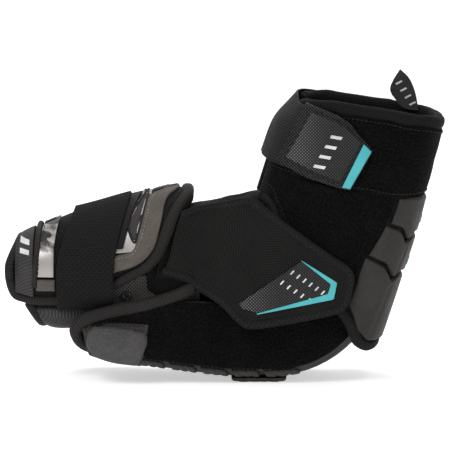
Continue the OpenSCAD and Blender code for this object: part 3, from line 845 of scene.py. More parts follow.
@dataclass(frozen=True)
class Finish:
    """A fabric, foam or print: its colours, its pattern and how the light takes it.

    Attributes:
        name: Start of the material's name.
        slot: The material slot of the pieces that wear it; not used.
        dark: Colour of the pattern's low parts.
        light: Colour of its high parts.
        pattern: How the face is made.
        pitch: Size of one repeat, in millimetres.
        angle: Turn of the pattern, in degrees.
        relief: Depth of the pattern, in millimetres.
        grain: Depth of the fine grain.
        grain_size: Size of the fine grain.
        rough: Roughness.
        sheen: Strength of the sheen.
        metal: How metallic it is.
        shine: Strength of the highlights.
        wear: How far worn edges take the worn colour.
        worn: Colour of a worn edge.
        patchy: Share of the broad cloudy tones.
        fade: Where a print is still full and where it has faded, along the cloth.
    """

    name: str
    slot: str
    dark: tuple
    light: tuple
    pattern: Pattern
    pitch: float = 1.0
    angle: float = 0.0
    relief: float = 0.25
    grain: float = 0.06
    grain_size: float = 0.6
    rough: float = 0.8
    sheen: float = 0.0
    metal: float = 0.0
    shine: float = 0.4
    wear: float = 0.25
    worn: tuple = ink(96, 93, 90)
    patchy: float = 0.35
    fade: tuple[float, float] | None = None

    def height(self, make: Shader, at: bpy.types.NodeSocket) -> bpy.types.NodeSocket:
        """The pattern as a height from 0 to 1.

        Args:
            make: The material's builder.
            at: The place on the cloth in millimetres.

        Returns:
            The height.
        """
        turned = make.add("ShaderNodeMapping", {"Vector": at, "Rotation": (0, 0, math.radians(self.angle))})
        split = make.add("ShaderNodeSeparateXYZ", {0: turned.outputs[0]})
        waves = [make.sum("SINE", make.sum("MULTIPLY", split.outputs[k], math.pi / self.pitch))
                 for k in (0, 1)]
        if self.pattern is Pattern.PILE:
            return make.step(make.noise(at, self.pitch, 4.0), 0.36, 0.66)
        if self.pattern is Pattern.RIBS:
            thread = make.sum("ABSOLUTE", waves[1])
            twist = make.sum("MULTIPLY", make.sum("ABSOLUTE", waves[0]), 0.35)
            return make.sum("ADD", make.sum("MULTIPLY", thread, 0.65), twist, True)
        if self.pattern is Pattern.PINHOLES:
            holes = make.step(make.sum("ABSOLUTE", make.sum("MULTIPLY", waves[0], waves[1])), 0.8, 0.93)
            flat = make.add("ShaderNodeSeparateXYZ", {0: at})
            rib = make.sum("MULTIPLY", flat.outputs[1], math.pi / 1.5)
            rows = make.sum("ABSOLUTE", make.sum("SINE", rib))
            return make.sum("SUBTRACT", make.sum("ADD", make.sum("MULTIPLY", rows, 0.6), 0.4), holes, True)
        if self.pattern in (Pattern.HOLES, Pattern.DOTS):
            lattice = make.sum("MULTIPLY", waves[0], waves[1])
            spots = make.step(make.sum("ABSOLUTE", lattice), 0.5, 0.8)
            return spots if self.pattern is Pattern.DOTS else make.sum("SUBTRACT", 1.0, spots)
        if self.pattern is Pattern.WEAVE:
            lattice = make.sum("MULTIPLY", waves[0], waves[1])
            return make.sum("ADD", make.sum("MULTIPLY", lattice, 0.5), 0.5)
        if self.pattern is Pattern.GRAIN:
            cells = make.add("ShaderNodeTexVoronoi", {"Vector": at, "Scale": 1 / self.pitch})
            return make.step(cells.outputs["Distance"], 0.1, 0.75)
        if self.pattern is Pattern.FLAKES:
            bent = make.add("ShaderNodeMapping", {"Vector": turned.outputs[0], "Scale": (0.55, 1.3, 1.0)})
            cells = make.add("ShaderNodeTexVoronoi", {"Vector": bent.outputs[0], "Scale": 1 / self.pitch},
                             distance="MANHATTAN")
            shade = make.add("ShaderNodeSeparateColor", {0: cells.outputs["Color"]})
            patches = make.step(make.sum("ADD", make.sum("MULTIPLY", shade.outputs[0], 0.6),
                                         make.sum("MULTIPLY", make.noise(at, 7.0), 0.6)), 0.42, 0.78)
            up = make.add("ShaderNodeSeparateXYZ", {0: at}).outputs[1]
            dim = make.sum("MULTIPLY", make.step(up, 14.0, 27.0), make.sum("SUBTRACT", 1.0, patches))
            return make.sum("SUBTRACT", 0.92, dim, True)
        return make.noise(at, 14.0)

    def material(self, in_space: bool = False) -> bpy.types.Material:
        """The finished material.

        Args:
            in_space: Lays the pattern in space, for a mesh that has no place on a cloth.

        Returns:
            The material, made once and then shared.
        """
        name = self.name + ("_solid" if in_space else "_look")
        if name in bpy.data.materials:
            return bpy.data.materials[name]
        make = Shader(name)
        spots = make.add("ShaderNodeTexCoord", {})
        space, cloth = (make.add("ShaderNodeVectorMath", {0: spots.outputs[kind], "Scale": 1000.0},
                                 operation="SCALE").outputs[0] for kind in ("Object", "UV"))
        at = space if in_space else cloth
        height = self.height(make, at)
        fine = make.noise(at, self.grain_size, 3.0)
        broad = make.step(make.noise(space, 17.0, 3.0), 0.32, 0.7)
        shade = make.sum("ADD", make.sum("MULTIPLY", height, 1 - self.patchy),
                         make.sum("MULTIPLY", broad, self.patchy), True)
        if self.fade:
            split = make.add("ShaderNodeSeparateXYZ", {0: at})
            left = make.step(split.outputs[0], self.fade[1], self.fade[0])
            shade = make.sum("MULTIPLY", shade, make.sum("ADD", make.sum("MULTIPLY", left, 0.72), 0.28))
        colour = make.mix(shade, self.dark, self.light)
        rim = make.add("ShaderNodeAttribute", {}, attribute_name="rim").outputs["Fac"]
        rubbed = make.sum("MULTIPLY", make.step(rim, 0.25, 0.95), make.step(make.noise(space, 4.0), 0.3, 0.7))
        colour = make.mix(make.sum("MULTIPLY", rubbed, self.wear), colour, self.worn)
        make.feed(make.face.inputs["Base Color"], colour)
        dull = make.sum("MULTIPLY", make.sum("SUBTRACT", broad, fine), 0.16)
        make.feed(make.face.inputs["Roughness"], make.sum("ADD", dull, self.rough, True))
        relief = make.sum("ADD", make.sum("MULTIPLY", height, self.relief),
                          make.sum("MULTIPLY", fine, self.grain))
        bump = make.add("ShaderNodeBump", {"Height": relief, "Distance": MM, "Strength": 1.0})
        make.feed(make.face.inputs["Normal"], bump.outputs[0])
        for socket, value in (("Metallic", self.metal), ("Sheen Weight", self.sheen),
                              ("Sheen Roughness", 0.45), ("Specular IOR Level", self.shine)):
            make.face.inputs[socket].default_value = value
        return make.material


VELVET = Finish("velvet_loop", "velvet_loop", ink(1, 1, 1), ink(19, 18, 18), Pattern.PILE, pitch=1.9,
                relief=0.8, grain=0.25, grain_size=0.7, rough=0.97, sheen=0.015, shine=0.06, wear=0.06)
STRETCH = Finish("stretch_fabric", "stretch_fabric", ink(2, 2, 2), ink(36, 35, 34), Pattern.WEAVE, pitch=1.45,
                 angle=45, relief=0.4, rough=0.86, sheen=0.01, shine=0.1, patchy=0.16)
TAPE = Finish("binding_tape", "edge_binding", ink(4, 4, 4), ink(40, 38, 37), Pattern.RIBS, pitch=2.0,
              angle=90, relief=0.35, rough=0.74, sheen=0.01, shine=0.14, patchy=0.2)
DARK_TAPE = replace(TAPE, name="dark_tape", dark=ink(2, 2, 2), light=ink(25, 24, 24))
ELASTIC = Finish("perforated_elastic", "elastic_webbing", ink(2, 2, 2), ink(30, 28, 28), Pattern.PINHOLES,
                 pitch=3.1, angle=45, relief=0.55, rough=0.84, sheen=0.01, shine=0.1, patchy=0.16)
WEBBING = Finish("ribbed_webbing", "ribbed_webbing", ink(3, 3, 3), ink(42, 40, 40), Pattern.RIBS, pitch=2.1,
                 relief=0.55, rough=0.8, sheen=0.01, shine=0.12, patchy=0.18)
FOAM = Finish("moulded_foam", "moulded_foam", ink(26, 24, 23), ink(50, 47, 45), Pattern.GRAIN, pitch=0.9,
              relief=0.12, rough=0.6, shine=0.22, wear=0.4, worn=ink(92, 88, 85), patchy=0.5)
WING_FOAM = Finish("wing_foam", "moulded_foam", ink(44, 43, 43), ink(76, 74, 75), Pattern.GRAIN, pitch=0.9,
                   relief=0.12, rough=0.6, shine=0.22, wear=0.5, worn=ink(112, 106, 100), patchy=0.4)
PIPING = Finish("ribbed_piping", "ribbed_piping", ink(4, 4, 4), ink(44, 42, 41), Pattern.RIBS, pitch=1.8,
                angle=90, relief=0.5, rough=0.7, sheen=0.01, shine=0.16, patchy=0.2)
LINING = Finish("brushed_lining", "liner_fabric", ink(10, 9, 9), ink(30, 29, 29), Pattern.PILE, pitch=1.8,
                relief=0.4, rough=0.95, sheen=0.02, shine=0.08)
MESH = Finish("mesh_fabric", "mesh_fabric", ink(8, 8, 8), ink(84, 82, 81), Pattern.HOLES, pitch=2.0, angle=45,
              relief=0.5, rough=0.75, shine=0.15, patchy=0.15)
FILM = Finish("metallic_film", "metallic_inlay", ink(30, 29, 30), ink(168, 164, 161), Pattern.FLAKES,
              pitch=9.0, angle=28, relief=0.1, grain=0.03, grain_size=0.5, rough=0.42, metal=0.55, shine=0.4,
              patchy=0.08)
TRIM = Finish("coated_trim", "trim_fabric", ink(62, 57, 53), ink(88, 82, 76), Pattern.GRAIN, pitch=0.9,
              relief=0.14, rough=0.62, shine=0.2, wear=0.2, worn=ink(120, 113, 105), patchy=0.5)
TEAL = Finish("teal_print", "teal_print", ink(58, 150, 156), ink(84, 178, 183), Pattern.SMOOTH, grain=0.03,
              rough=0.5, wear=0.15, worn=ink(130, 200, 203), shine=0.2)
PRINT = Finish("dotted_print", "printed_label", ink(20, 19, 20), ink(112, 111, 112), Pattern.DOTS, pitch=1.75,
               angle=45, relief=0.12, grain=0.03, rough=0.55, patchy=0.05, fade=(12.0, 44.0), shine=0.18)
TAB_PRINT = replace(PRINT, name="dotted_tab_print", fade=(52.0, 84.0))
DOTTED = Finish("dotted_fabric", "printed_label", ink(9, 9, 9), ink(70, 69, 70), Pattern.DOTS, pitch=1.75,
                angle=45, relief=0.12, grain=0.05, rough=0.72, patchy=0.1, shine=0.12)
HOOKS = Finish("hook_tape", "hook_tape", ink(3, 3, 3), ink(30, 30, 30), Pattern.DOTS, pitch=0.9, relief=0.6,
               rough=0.6, shine=0.2)
GLOSS = Finish("keeper_plastic", "keeper_ring", ink(10, 10, 11), ink(20, 20, 21), Pattern.SMOOTH, grain=0.01,
               rough=0.24, shine=0.6)
WOVEN = Finish("woven_panel", "panel_fabric", ink(26, 25, 26), ink(70, 68, 68), Pattern.WEAVE, pitch=1.3,
               relief=0.3, rough=0.7, shine=0.18, patchy=0.2)
RIBBON = Finish("ribbon", "ribbon", ink(24, 24, 25), ink(60, 60, 62), Pattern.RIBS, pitch=1.1, relief=0.25,
                rough=0.62, shine=0.2)
SHELL = Finish("shell_fabric", "shell_fabric", ink(2, 2, 2), ink(30, 29, 29), Pattern.WEAVE, pitch=1.4,
               angle=20, relief=0.32, rough=0.84, sheen=0.01, shine=0.1, patchy=0.25)
THREAD = Finish("black_thread", "edge_binding", ink(16, 15, 15), ink(40, 39, 39), Pattern.RIBS, pitch=0.4,
                relief=0.08, rough=0.6, shine=0.2)
PALE_THREAD = Finish("grey_thread", "trim_fabric", ink(100, 94, 88), ink(136, 129, 121), Pattern.RIBS,
                     pitch=0.4, relief=0.08, rough=0.6, shine=0.2)
PALE_INK = Finish("pale_ink", "printed_label", ink(176, 177, 178), ink(216, 216, 216), Pattern.SMOOTH,
                  grain=0.04, rough=0.6, patchy=0.6, wear=0.3, worn=ink(120, 120, 120), shine=0.15)


# ---- Assemblies ----


class Assembly:
    """A group of pieces that mostly ride on one body."""

    body = "elbow"

    def fit(self, piece: bpy.types.Object, finish: Finish, *nodes: str, body: str | None = None,
            in_space: bool = False) -> bpy.types.Object:
        """Dresses a piece, lets it ride and hides the nodes that it stands for.

        Args:
            piece: The piece.
            finish: Its finish.
            *nodes: The nodes that it replaces.
            body: The body that it rides on, or an empty name to leave it on none.
            in_space: Whether the finish is laid in space.

        Returns:
            The piece.
        """
        piece.data.materials.append(finish.material(in_space))
        if body != "":
            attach(piece, body or self.body)
        if nodes:
            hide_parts(*nodes)
        log.info("%s: %d faces", piece.name, len(piece.data.polygons))
        return piece

    def cloth(self, piece: bpy.types.Object, held: str = "laid", rests_on: Sequence[str] = ()) -> None:
        """Takes a sheet, how it is held and what it rests on, and does nothing with them."""


def join(name: str, pieces: Sequence[bpy.types.Object]) -> bpy.types.Object:
    """Makes one piece out of several."""
    bpy.ops.object.select_all(action="DESELECT")
    for piece in pieces:
        piece.select_set(True)
    bpy.context.view_layer.objects.active = pieces[0]
    bpy.ops.object.join()
    pieces[0].name = free_name(name)
    return pieces[0]


def lay_flat(piece: bpy.types.Object) -> bpy.types.Object:
    """Prints a side piece's pattern straight from the side, so that its dots don't stretch."""
    mesh = piece.data
    for loop, spot in zip(mesh.loops, mesh.uv_layers.active.data):
        place = mesh.vertices[loop.vertex_index].co
        spot.uv = (place.x, place.z)
    return piece


def line_inside_out(piece: bpy.types.Object, middle: Callable[[np.ndarray], np.ndarray],
                    lining: Finish) -> None:
    """Gives the faces that look towards the arm the lining's finish.

    Args:
        piece: A padded piece in its first finish.
        middle: For points in millimetres, the nearest point of the arm's middle line.
        lining: The finish of the inner faces.
    """
    piece.data.materials.append(lining.material(True))
    count = len(piece.data.polygons)
    centres, normals = np.empty(count * 3), np.empty(count * 3)
    piece.data.polygons.foreach_get("center", centres)
    piece.data.polygons.foreach_get("normal", normals)
    centres = centres.reshape(-1, 3) / MM
    inward = np.einsum("ij,ij->i", normals.reshape(-1, 3), unit(centres - middle(centres))) < -0.15
    piece.data.polygons.foreach_set("material_index", inward.astype(np.int32))


def both(names: str) -> list[tuple[Side, str]]:
    """Each side with the name of its piece."""
    return [(side, f"{names}_{side.name.lower()}") for side in Side]


def bars(name: str, surface: Surface, start: tuple[float, float], end: tuple[float, float], count: int,
         size: tuple[float, float], d: float, lean: float = 0.0, side: Side = Side.NEAR) -> bpy.types.Object:
    """A row of plain printed dashes in place of lettering.

    Args:
        name: Name of the piece.
        surface: The surface that they are printed on.
        start: First end of the row, as a side view shows it.
        end: Other end of the row.
        count: Number of dashes.
        size: Length of a dash across the row, and its width along it.
        d: Height over the surface.
        lean: How far a dash leans along the row.
        side: The side of the pad.

    Returns:
        The piece.
    """
    a, b = np.array(start), np.array(end)
    along = (b - a) / np.linalg.norm(b - a)
    across = np.array([-along[1], along[0]])
    dashes = []
    for share in np.linspace(0, 1, count):
        low = a + (b - a) * share - across * size[0] / 2
        high = low + across * size[0] + along * lean
        width = along * size[1]
        dashes.append(Panel(surface, [low, low + width], [high, high + width], low=d, high=d + 0.35, rim=0.3,
                            step=1.2, seen=True, sharp=True).build(name, side))
    return join(name, dashes)


class WallSurface(Surface):
    """Upright sheet beside the forearm. u is x and v is z."""

    def __init__(self, y: float) -> None:
        """Stands at y."""
        self.y = y

    def place(self, u: np.ndarray, v: np.ndarray, d: np.ndarray) -> np.ndarray:
        """Height d runs away from the arm."""
        u, v, d = matched(u, v, d)
        return np.stack([u, self.y + math.copysign(1, self.y) * d, v], -1)

    def locate(self, x: float, z: float) -> tuple[float, float]:
        """The place itself."""
        return x, z


class WrapSurface(Surface):
    """The forearm strap's path. u is a share of its width and v a share of its length."""

    lines = 9
    points = 240

    def __init__(self, left: float, width: float) -> None:
        """Lofts the path: up the far side, under the lower pad and over the cuff."""
        half = [(44, 66), (40, 62), (36, 60.4), (29.5, 59.5), (24, 54)]
        base = fair(half + [(0, 52)] + [(-y, z) for y, z in half[::-1]], 60)
        rows = []
        for share in np.linspace(0, 1, self.lines):
            x = left + width * share
            v = np.linspace(112, 5, 60)
            over = CUFF.place(x + 14 * np.cos(np.radians(np.minimum(v, 90))) ** 1.5, v, 3.7)
            under = np.stack([np.full(60, x), base[:, 0], base[:, 1]], -1)
            run = resample(np.concatenate([under, over]), self.points)
            soft = np.stack([np.convolve(np.pad(run[:, k], 6, mode="edge"), np.ones(13) / 13, "valid")
                             for k in range(3)], -1)
            rows.append(resample(soft, self.points))
        self.grid = np.array(rows)

    def sample(self, u: np.ndarray, v: np.ndarray) -> np.ndarray:
        """The path's point at u, v."""
        p = np.clip(u, 0, 1) * (self.lines - 1)
        q = np.clip(v, 0, 1) * (self.points - 1)
        i = np.minimum(p.astype(int), self.lines - 2)
        j = np.minimum(q.astype(int), self.points - 2)
        a, b = (p - i)[..., None], (q - j)[..., None]
        g = self.grid
        line = (1 - b) * g[i, j] + b * g[i, j + 1]
        next_line = (1 - b) * g[i + 1, j] + b * g[i + 1, j + 1]
        return (1 - a) * line + a * next_line

    def place(self, u: np.ndarray, v: np.ndarray, d: np.ndarray) -> np.ndarray:
        """Height d runs away from the arm."""
        u, v, d = matched(u, v, d)
        across = self.sample(np.minimum(u + 0.05, 1), v) - self.sample(np.maximum(u - 0.05, 0), v)
        along = self.sample(u, np.minimum(v + 0.012, 1)) - self.sample(u, np.maximum(v - 0.012, 0))
        return self.sample(u, v) + unit(np.cross(across, along)) * d[..., None]


@dataclass
class ElbowCap(Assembly):
    """The moulded cup under the elbow, with what is sewn and moulded on it."""

    front: float = -144.0
    back: float = 84.0
    wall: float = 5.0
    piping_r: float = 4.7
    rib_count: int = 5
    rib_pitch: float = 25.0
    velvet_low: float = 57.0
    body: str = "elbow"

    def shell(self) -> None:
        """The cup and its puffed inner pad."""
        def grooves(a: np.ndarray, b: np.ndarray, at: np.ndarray) -> np.ndarray:
            """Two long moulded lines on each side of the bottom."""
            off = np.abs(b - 0.5)
            return -0.9 * (np.exp(-((off - 0.19) / 0.008) ** 2) + np.exp(-((off - 0.12) / 0.008) ** 2))

        cup = Panel(CAP, [(self.front, -180), (self.back, -180)], [(self.front, 180), (self.back, 180)],
                    low=-self.wall, high=0, rim=2.6, step=3.0, relief=grooves).build("cap_shell")
        self.fit(cup, FOAM, "elbow_cap_shell")
        pad = Panel(CAP, [(-74, -150), (72, -150)], [(-74, 150), (72, 150)], low=-self.wall - 0.6, high=-12.2,
                    rim=4.0, step=3.5).build("cap_inner_pad")

        def sewn(p: np.ndarray) -> np.ndarray:
            """Firm at the sides and on the bottom, loose between them."""
            return np.where((np.abs(p[:, 1]) > 38) | (p[:, 2] < 12.5), 1.0, 0.25)

        puff(pad, 2.2, 3.2, 3.0, sewn)
        self.fit(pad, LINING, "elbow_foam", "elbow_liner", in_space=True)

    def wear_pad(self) -> None:
        """The flat grip that the pad stands on."""
        def grips(a: np.ndarray, b: np.ndarray, at: np.ndarray) -> np.ndarray:
            """Shallow cross grooves."""
            return -0.7 * np.clip(np.sin(a * math.pi * 9), 0, 1) ** 6

        front = [(10, -33), (5, -28), (5, 28), (10, 33)]
        rear = [(44, -33), (49, -28), (49, 28), (44, 33)]
        pad = Panel(FLOOR, *between(front, rear), low=-1, high=2.5, rim=2.2, step=2.0, sharp=True,
                    relief=grips).build("wear_pad")
        self.fit(pad, FOAM, "elbow_wear_pad")

    def ribs(self) -> None:
        """The flex ribs along the lower corners."""
        def notch(a: np.ndarray, b: np.ndarray, at: np.ndarray) -> np.ndarray:
            """Two fine slots across each rib."""
            return -0.9 * (np.exp(-((a - 0.34) / 0.05) ** 2) + np.exp(-((a - 0.67) / 0.05) ** 2))

        made = []
        for side in Side:
            for k in range(self.rib_count):
                u = -108 + k * self.rib_pitch
                rib = Panel(CAP, [(u + 3, 34), (u + 23, 34)], [(u, 54), (u + 20, 54)], low=0.2, high=2.2,
                            rim=1.3, step=1.6, relief=notch)
                made.append(rib.build("rib", side))
        self.fit(join("cap_ribs", made), FOAM, "elbow_ribs")

    def velvet(self, stitches: Stitching) -> None:
        """The loop panels on both sides."""
        for side, name in both("cap_velvet"):
            low = [(-101, self.velvet_low), (-50, 58), (0, 57), (30, 56), (48, 57)]
            high = [(-112, 178), (-66, 179), (-10, 179), (67, 176)]
            front = [low[0], (-106, 90), (-112, 135), high[0]]
            rear = [low[-1], (58, 90), (64, 130), high[-1]]
            panel = Panel(CAP, low, high, front, rear, low=0.2, high=2.0, rim=1.0, step=2.6,
                          wrinkle=0.12).build(name, side)
            self.fit(panel, VELVET, "elbow_loop_" + side.name.lower())
            self.cloth(panel, rests_on=["elbow_cap_shell"])
            stitches.row(CAP, fair([(u, v + 2.5) for u, v in low[:3]]), 2.0, side)
            strip = Panel(CAP, [(-143.5, 126), (-125, 118), (-98, 110)], [(-143.5, 179), (-98, 179)], low=0.3,
                          high=2.1, rim=1.0, step=2.6, wrinkle=0.12).build(name + "_strip", side)
            self.fit(strip, VELVET)
            self.cloth(strip, rests_on=["elbow_cap_shell"])

    def wings(self, stitches: Stitching) -> None:
        """The rounded moulded pads on the front corners, each on a thin foot."""
        left = [(-103, 26), (-109, 33), (-108.5, 42), (-104, 48)]
        right = [(-69, 18.5), (-64, 28), (-61, 36), (-62, 43.5)]
        bottom = [left[0], (-88, 21.5), right[0]]
        top = [left[-1], (-86, 47.5), right[-1]]
        for side, name in both("cap_wing"):
            pad = Panel(CAP, bottom, top, left, right, low=0.6, high=5.4, rim=3.0, step=1.6, crown=1.0,
                        seen=True).build(name, side)
            foot = Panel(CAP, [(-108, 25), (-88, 18), (-66, 15)], [(-113, 46), (-92, 51), (-59, 50)],
                         low=0.1, high=2.2, rim=1.6, step=2.2, seen=True).build(name + "_foot", side)
            self.fit(pad, WING_FOAM, "elbow_wing_" + side.name.lower())
            self.fit(foot, FOAM)
            for rise in (0, 1.7):
                row = seen_line(CAP, [(-111, 44.5 + rise), (-92, 49 + rise), (-61, 47.6 + rise)])
                stitches.row(CAP, row, 2.4, side)

    def piping(self) -> None:
        """The thick ribbed piping on the rim."""
        half = [(-26, -42, 77), (-34, -45, 73), (-47, -47, 68.4), (-64, -49.5, 64), (-82, -51, 60.8),
                (-98, -51, 57), (-110, -50, 52.8), (-117, -47.5, 46.5), (-117, -43.5, 39), (-113, -37, 33),
                (-109.5, -25, 29), (-108.5, -12, 27)]
        count = 420
        line = half + [(-108, 0, 26.5)] + [(x, -y, z) for x, y, z in reversed(half)]
        run = fair(line, count)
        ups = unit(np.stack([-0.5 * (run[:, 0] < -100), np.zeros(count), np.ones(count)], -1) + 0.001)
        cord = sweep("cap_rim_piping", run, ups, oval(self.piping_r, self.piping_r + 0.3),
                     swell=ribbed(count, span(run), 2.2, 0.07))
        self.fit(cord, PIPING, "elbow_rim_piping")

    def sleeve(self) -> None:
        """The stretch sleeve over the crook, and the gusset that joins it to the near side."""
        sleeve = Panel(SLEEVE, [(-62, -123), (37, -98)], [(-62, 123), (37, 98)], low=-1.8, high=0, rim=0.9,
                       step=2.6, wrinkle=1.3, wave=26, seed=5, under=1.0).build("crook_sleeve")
        self.fit(sleeve, STRETCH, "crook_sleeve")
        self.cloth(sleeve, "stretched", ["elbow_cap_shell"])
        gusset = Panel(DRAPE, [(-55, 84), (-14, 84)], [(-48, 126), (-14, 132)], low=-4.4, high=-3.0, rim=0.7,
                       step=3, wrinkle=0.5, wave=24, under=1.0).build("crook_gusset")
        self.fit(gusset, STRETCH)
        self.cloth(gusset, "stretched", ["elbow_cap_shell"])

    def build(self) -> None:
        """Builds the whole cap."""
        stitches = Stitching()
        self.shell()
        self.wear_pad()
        self.ribs()
        self.velvet(stitches)
        self.wings(stitches)
        self.piping()
        self.sleeve()
        self.fit(stitches.build("cap_stitches"), THREAD)


@dataclass
class AnchorStrap(Assembly):
    """The wide fabric strap that crosses the crook and closes on the cap's velvet."""

    thick: float = 1.7
    binding_w: float = 6.6
    body: str = "anchor_strap"
    top: tuple = ((-34, 137.5), (-18, 143), (3, 148), (14, 150.5), (21, 150), (33, 142), (46, 132), (65, 118),
                  (85, 104), (97, 96), (101, 89))
    bottom: tuple = ((-49, 88), (-33, 83), (-22, 76), (-4, 66), (10, 52), (22, 47), (60, 53), (87, 59),
                     (96, 65))
    left: tuple = ((-49, 88), (-45, 99), (-41, 115), (-37, 129), (-34, 137.5))
    right: tuple = ((96, 65), (100, 78), (101, 89))

    def bend(self, piece: bpy.types.Object) -> None:
        """Bakes a piece's placement into its mesh."""
        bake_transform(piece)

    def build(self) -> None:
        """Builds the strap, its binding, its label and its hook patch."""
        strap = Panel(DRAPE, self.bottom, self.top, self.left, self.right, low=0, high=self.thick, rim=0.8,
                      step=2.2, wrinkle=0.55, wave=34, seed=11, under=1.0).build("anchor_strap")
        self.fit(strap, STRETCH, "anchor_tab", body="")
        self.cloth(strap, "stretched", ["elbow_loop_near"])
        self.bend(strap)
        edge = fair(self.bottom + self.right[1:] + tuple(reversed(self.top))[1:], 150)
        way = unit(np.gradient(edge, axis=0))
        middle = edge + np.stack([-way[:, 1], way[:, 0]], -1) * (self.binding_w / 2 - 0.4)
        at, ups = along_surface(DRAPE, middle, self.thick / 2, 2.4)
        binding = sweep("anchor_binding", at, ups, oval(self.binding_w / 2, self.thick / 2 + 0.85, 14, 0.7))
        self.fit(binding, DARK_TAPE, "anchor_binding", body="")
        self.bend(binding)
        stitches = Stitching()
        stitches.row(DRAPE, middle, self.thick + 0.8, length=2.1, space=0, swing=1.5)
        stitches.row(DRAPE, fair([(-31, 92), (-18, 84), (0, 72), (14, 58)]), self.thick)
        thread = stitches.build("anchor_stitches")
        self.fit(thread, THREAD, body="")
        self.bend(thread)
        face = self.thick + 0.1
        label = Panel(DRAPE, [(14, 63), (25, 59.5), (84, 72)], [(11, 67), (60, 101), (86, 84)], low=face,
                      high=face + 0.9, rim=0.4, step=2, sharp=True).build("anchor_label")
        self.fit(lay_flat(label), PRINT, "anchor_label")
        chevron = Panel(DRAPE, [(60, 101.6), (88, 84), (85.5, 70.6), (25, 58.3)],
                        [(60, 100.9), (83, 82.6), (80.6, 75), (25, 59.3)], low=face + 0.6,
                        high=face + 1.3, rim=0.4, step=1.5, sharp=True).build("anchor_chevron")
        self.fit(chevron, TEAL, "anchor_chevron")
        rows = [bars("anchor_dashes", DRAPE, (52, 92.5), (76, 76.5), 6, (4.0, 1.3), face + 0.8, 0.6),
                bars("anchor_dashes_low", DRAPE, (44, 84.5), (65, 70.5), 5, (4.0, 1.3), face + 0.8, 0.6)]
        self.fit(join("anchor_dashes", rows), PALE_INK)
        hooks = Panel(DRAPE, [(36, 62), (84, 70)], [(36, 92), (80, 84)], low=-1.2, high=-0.2, rim=0.4, step=3,
                      sharp=True).build("anchor_hooks")
        self.fit(hooks, HOOKS, "anchor_hook_patch")
        self.cloth(hooks, rests_on=["anchor_tab"])


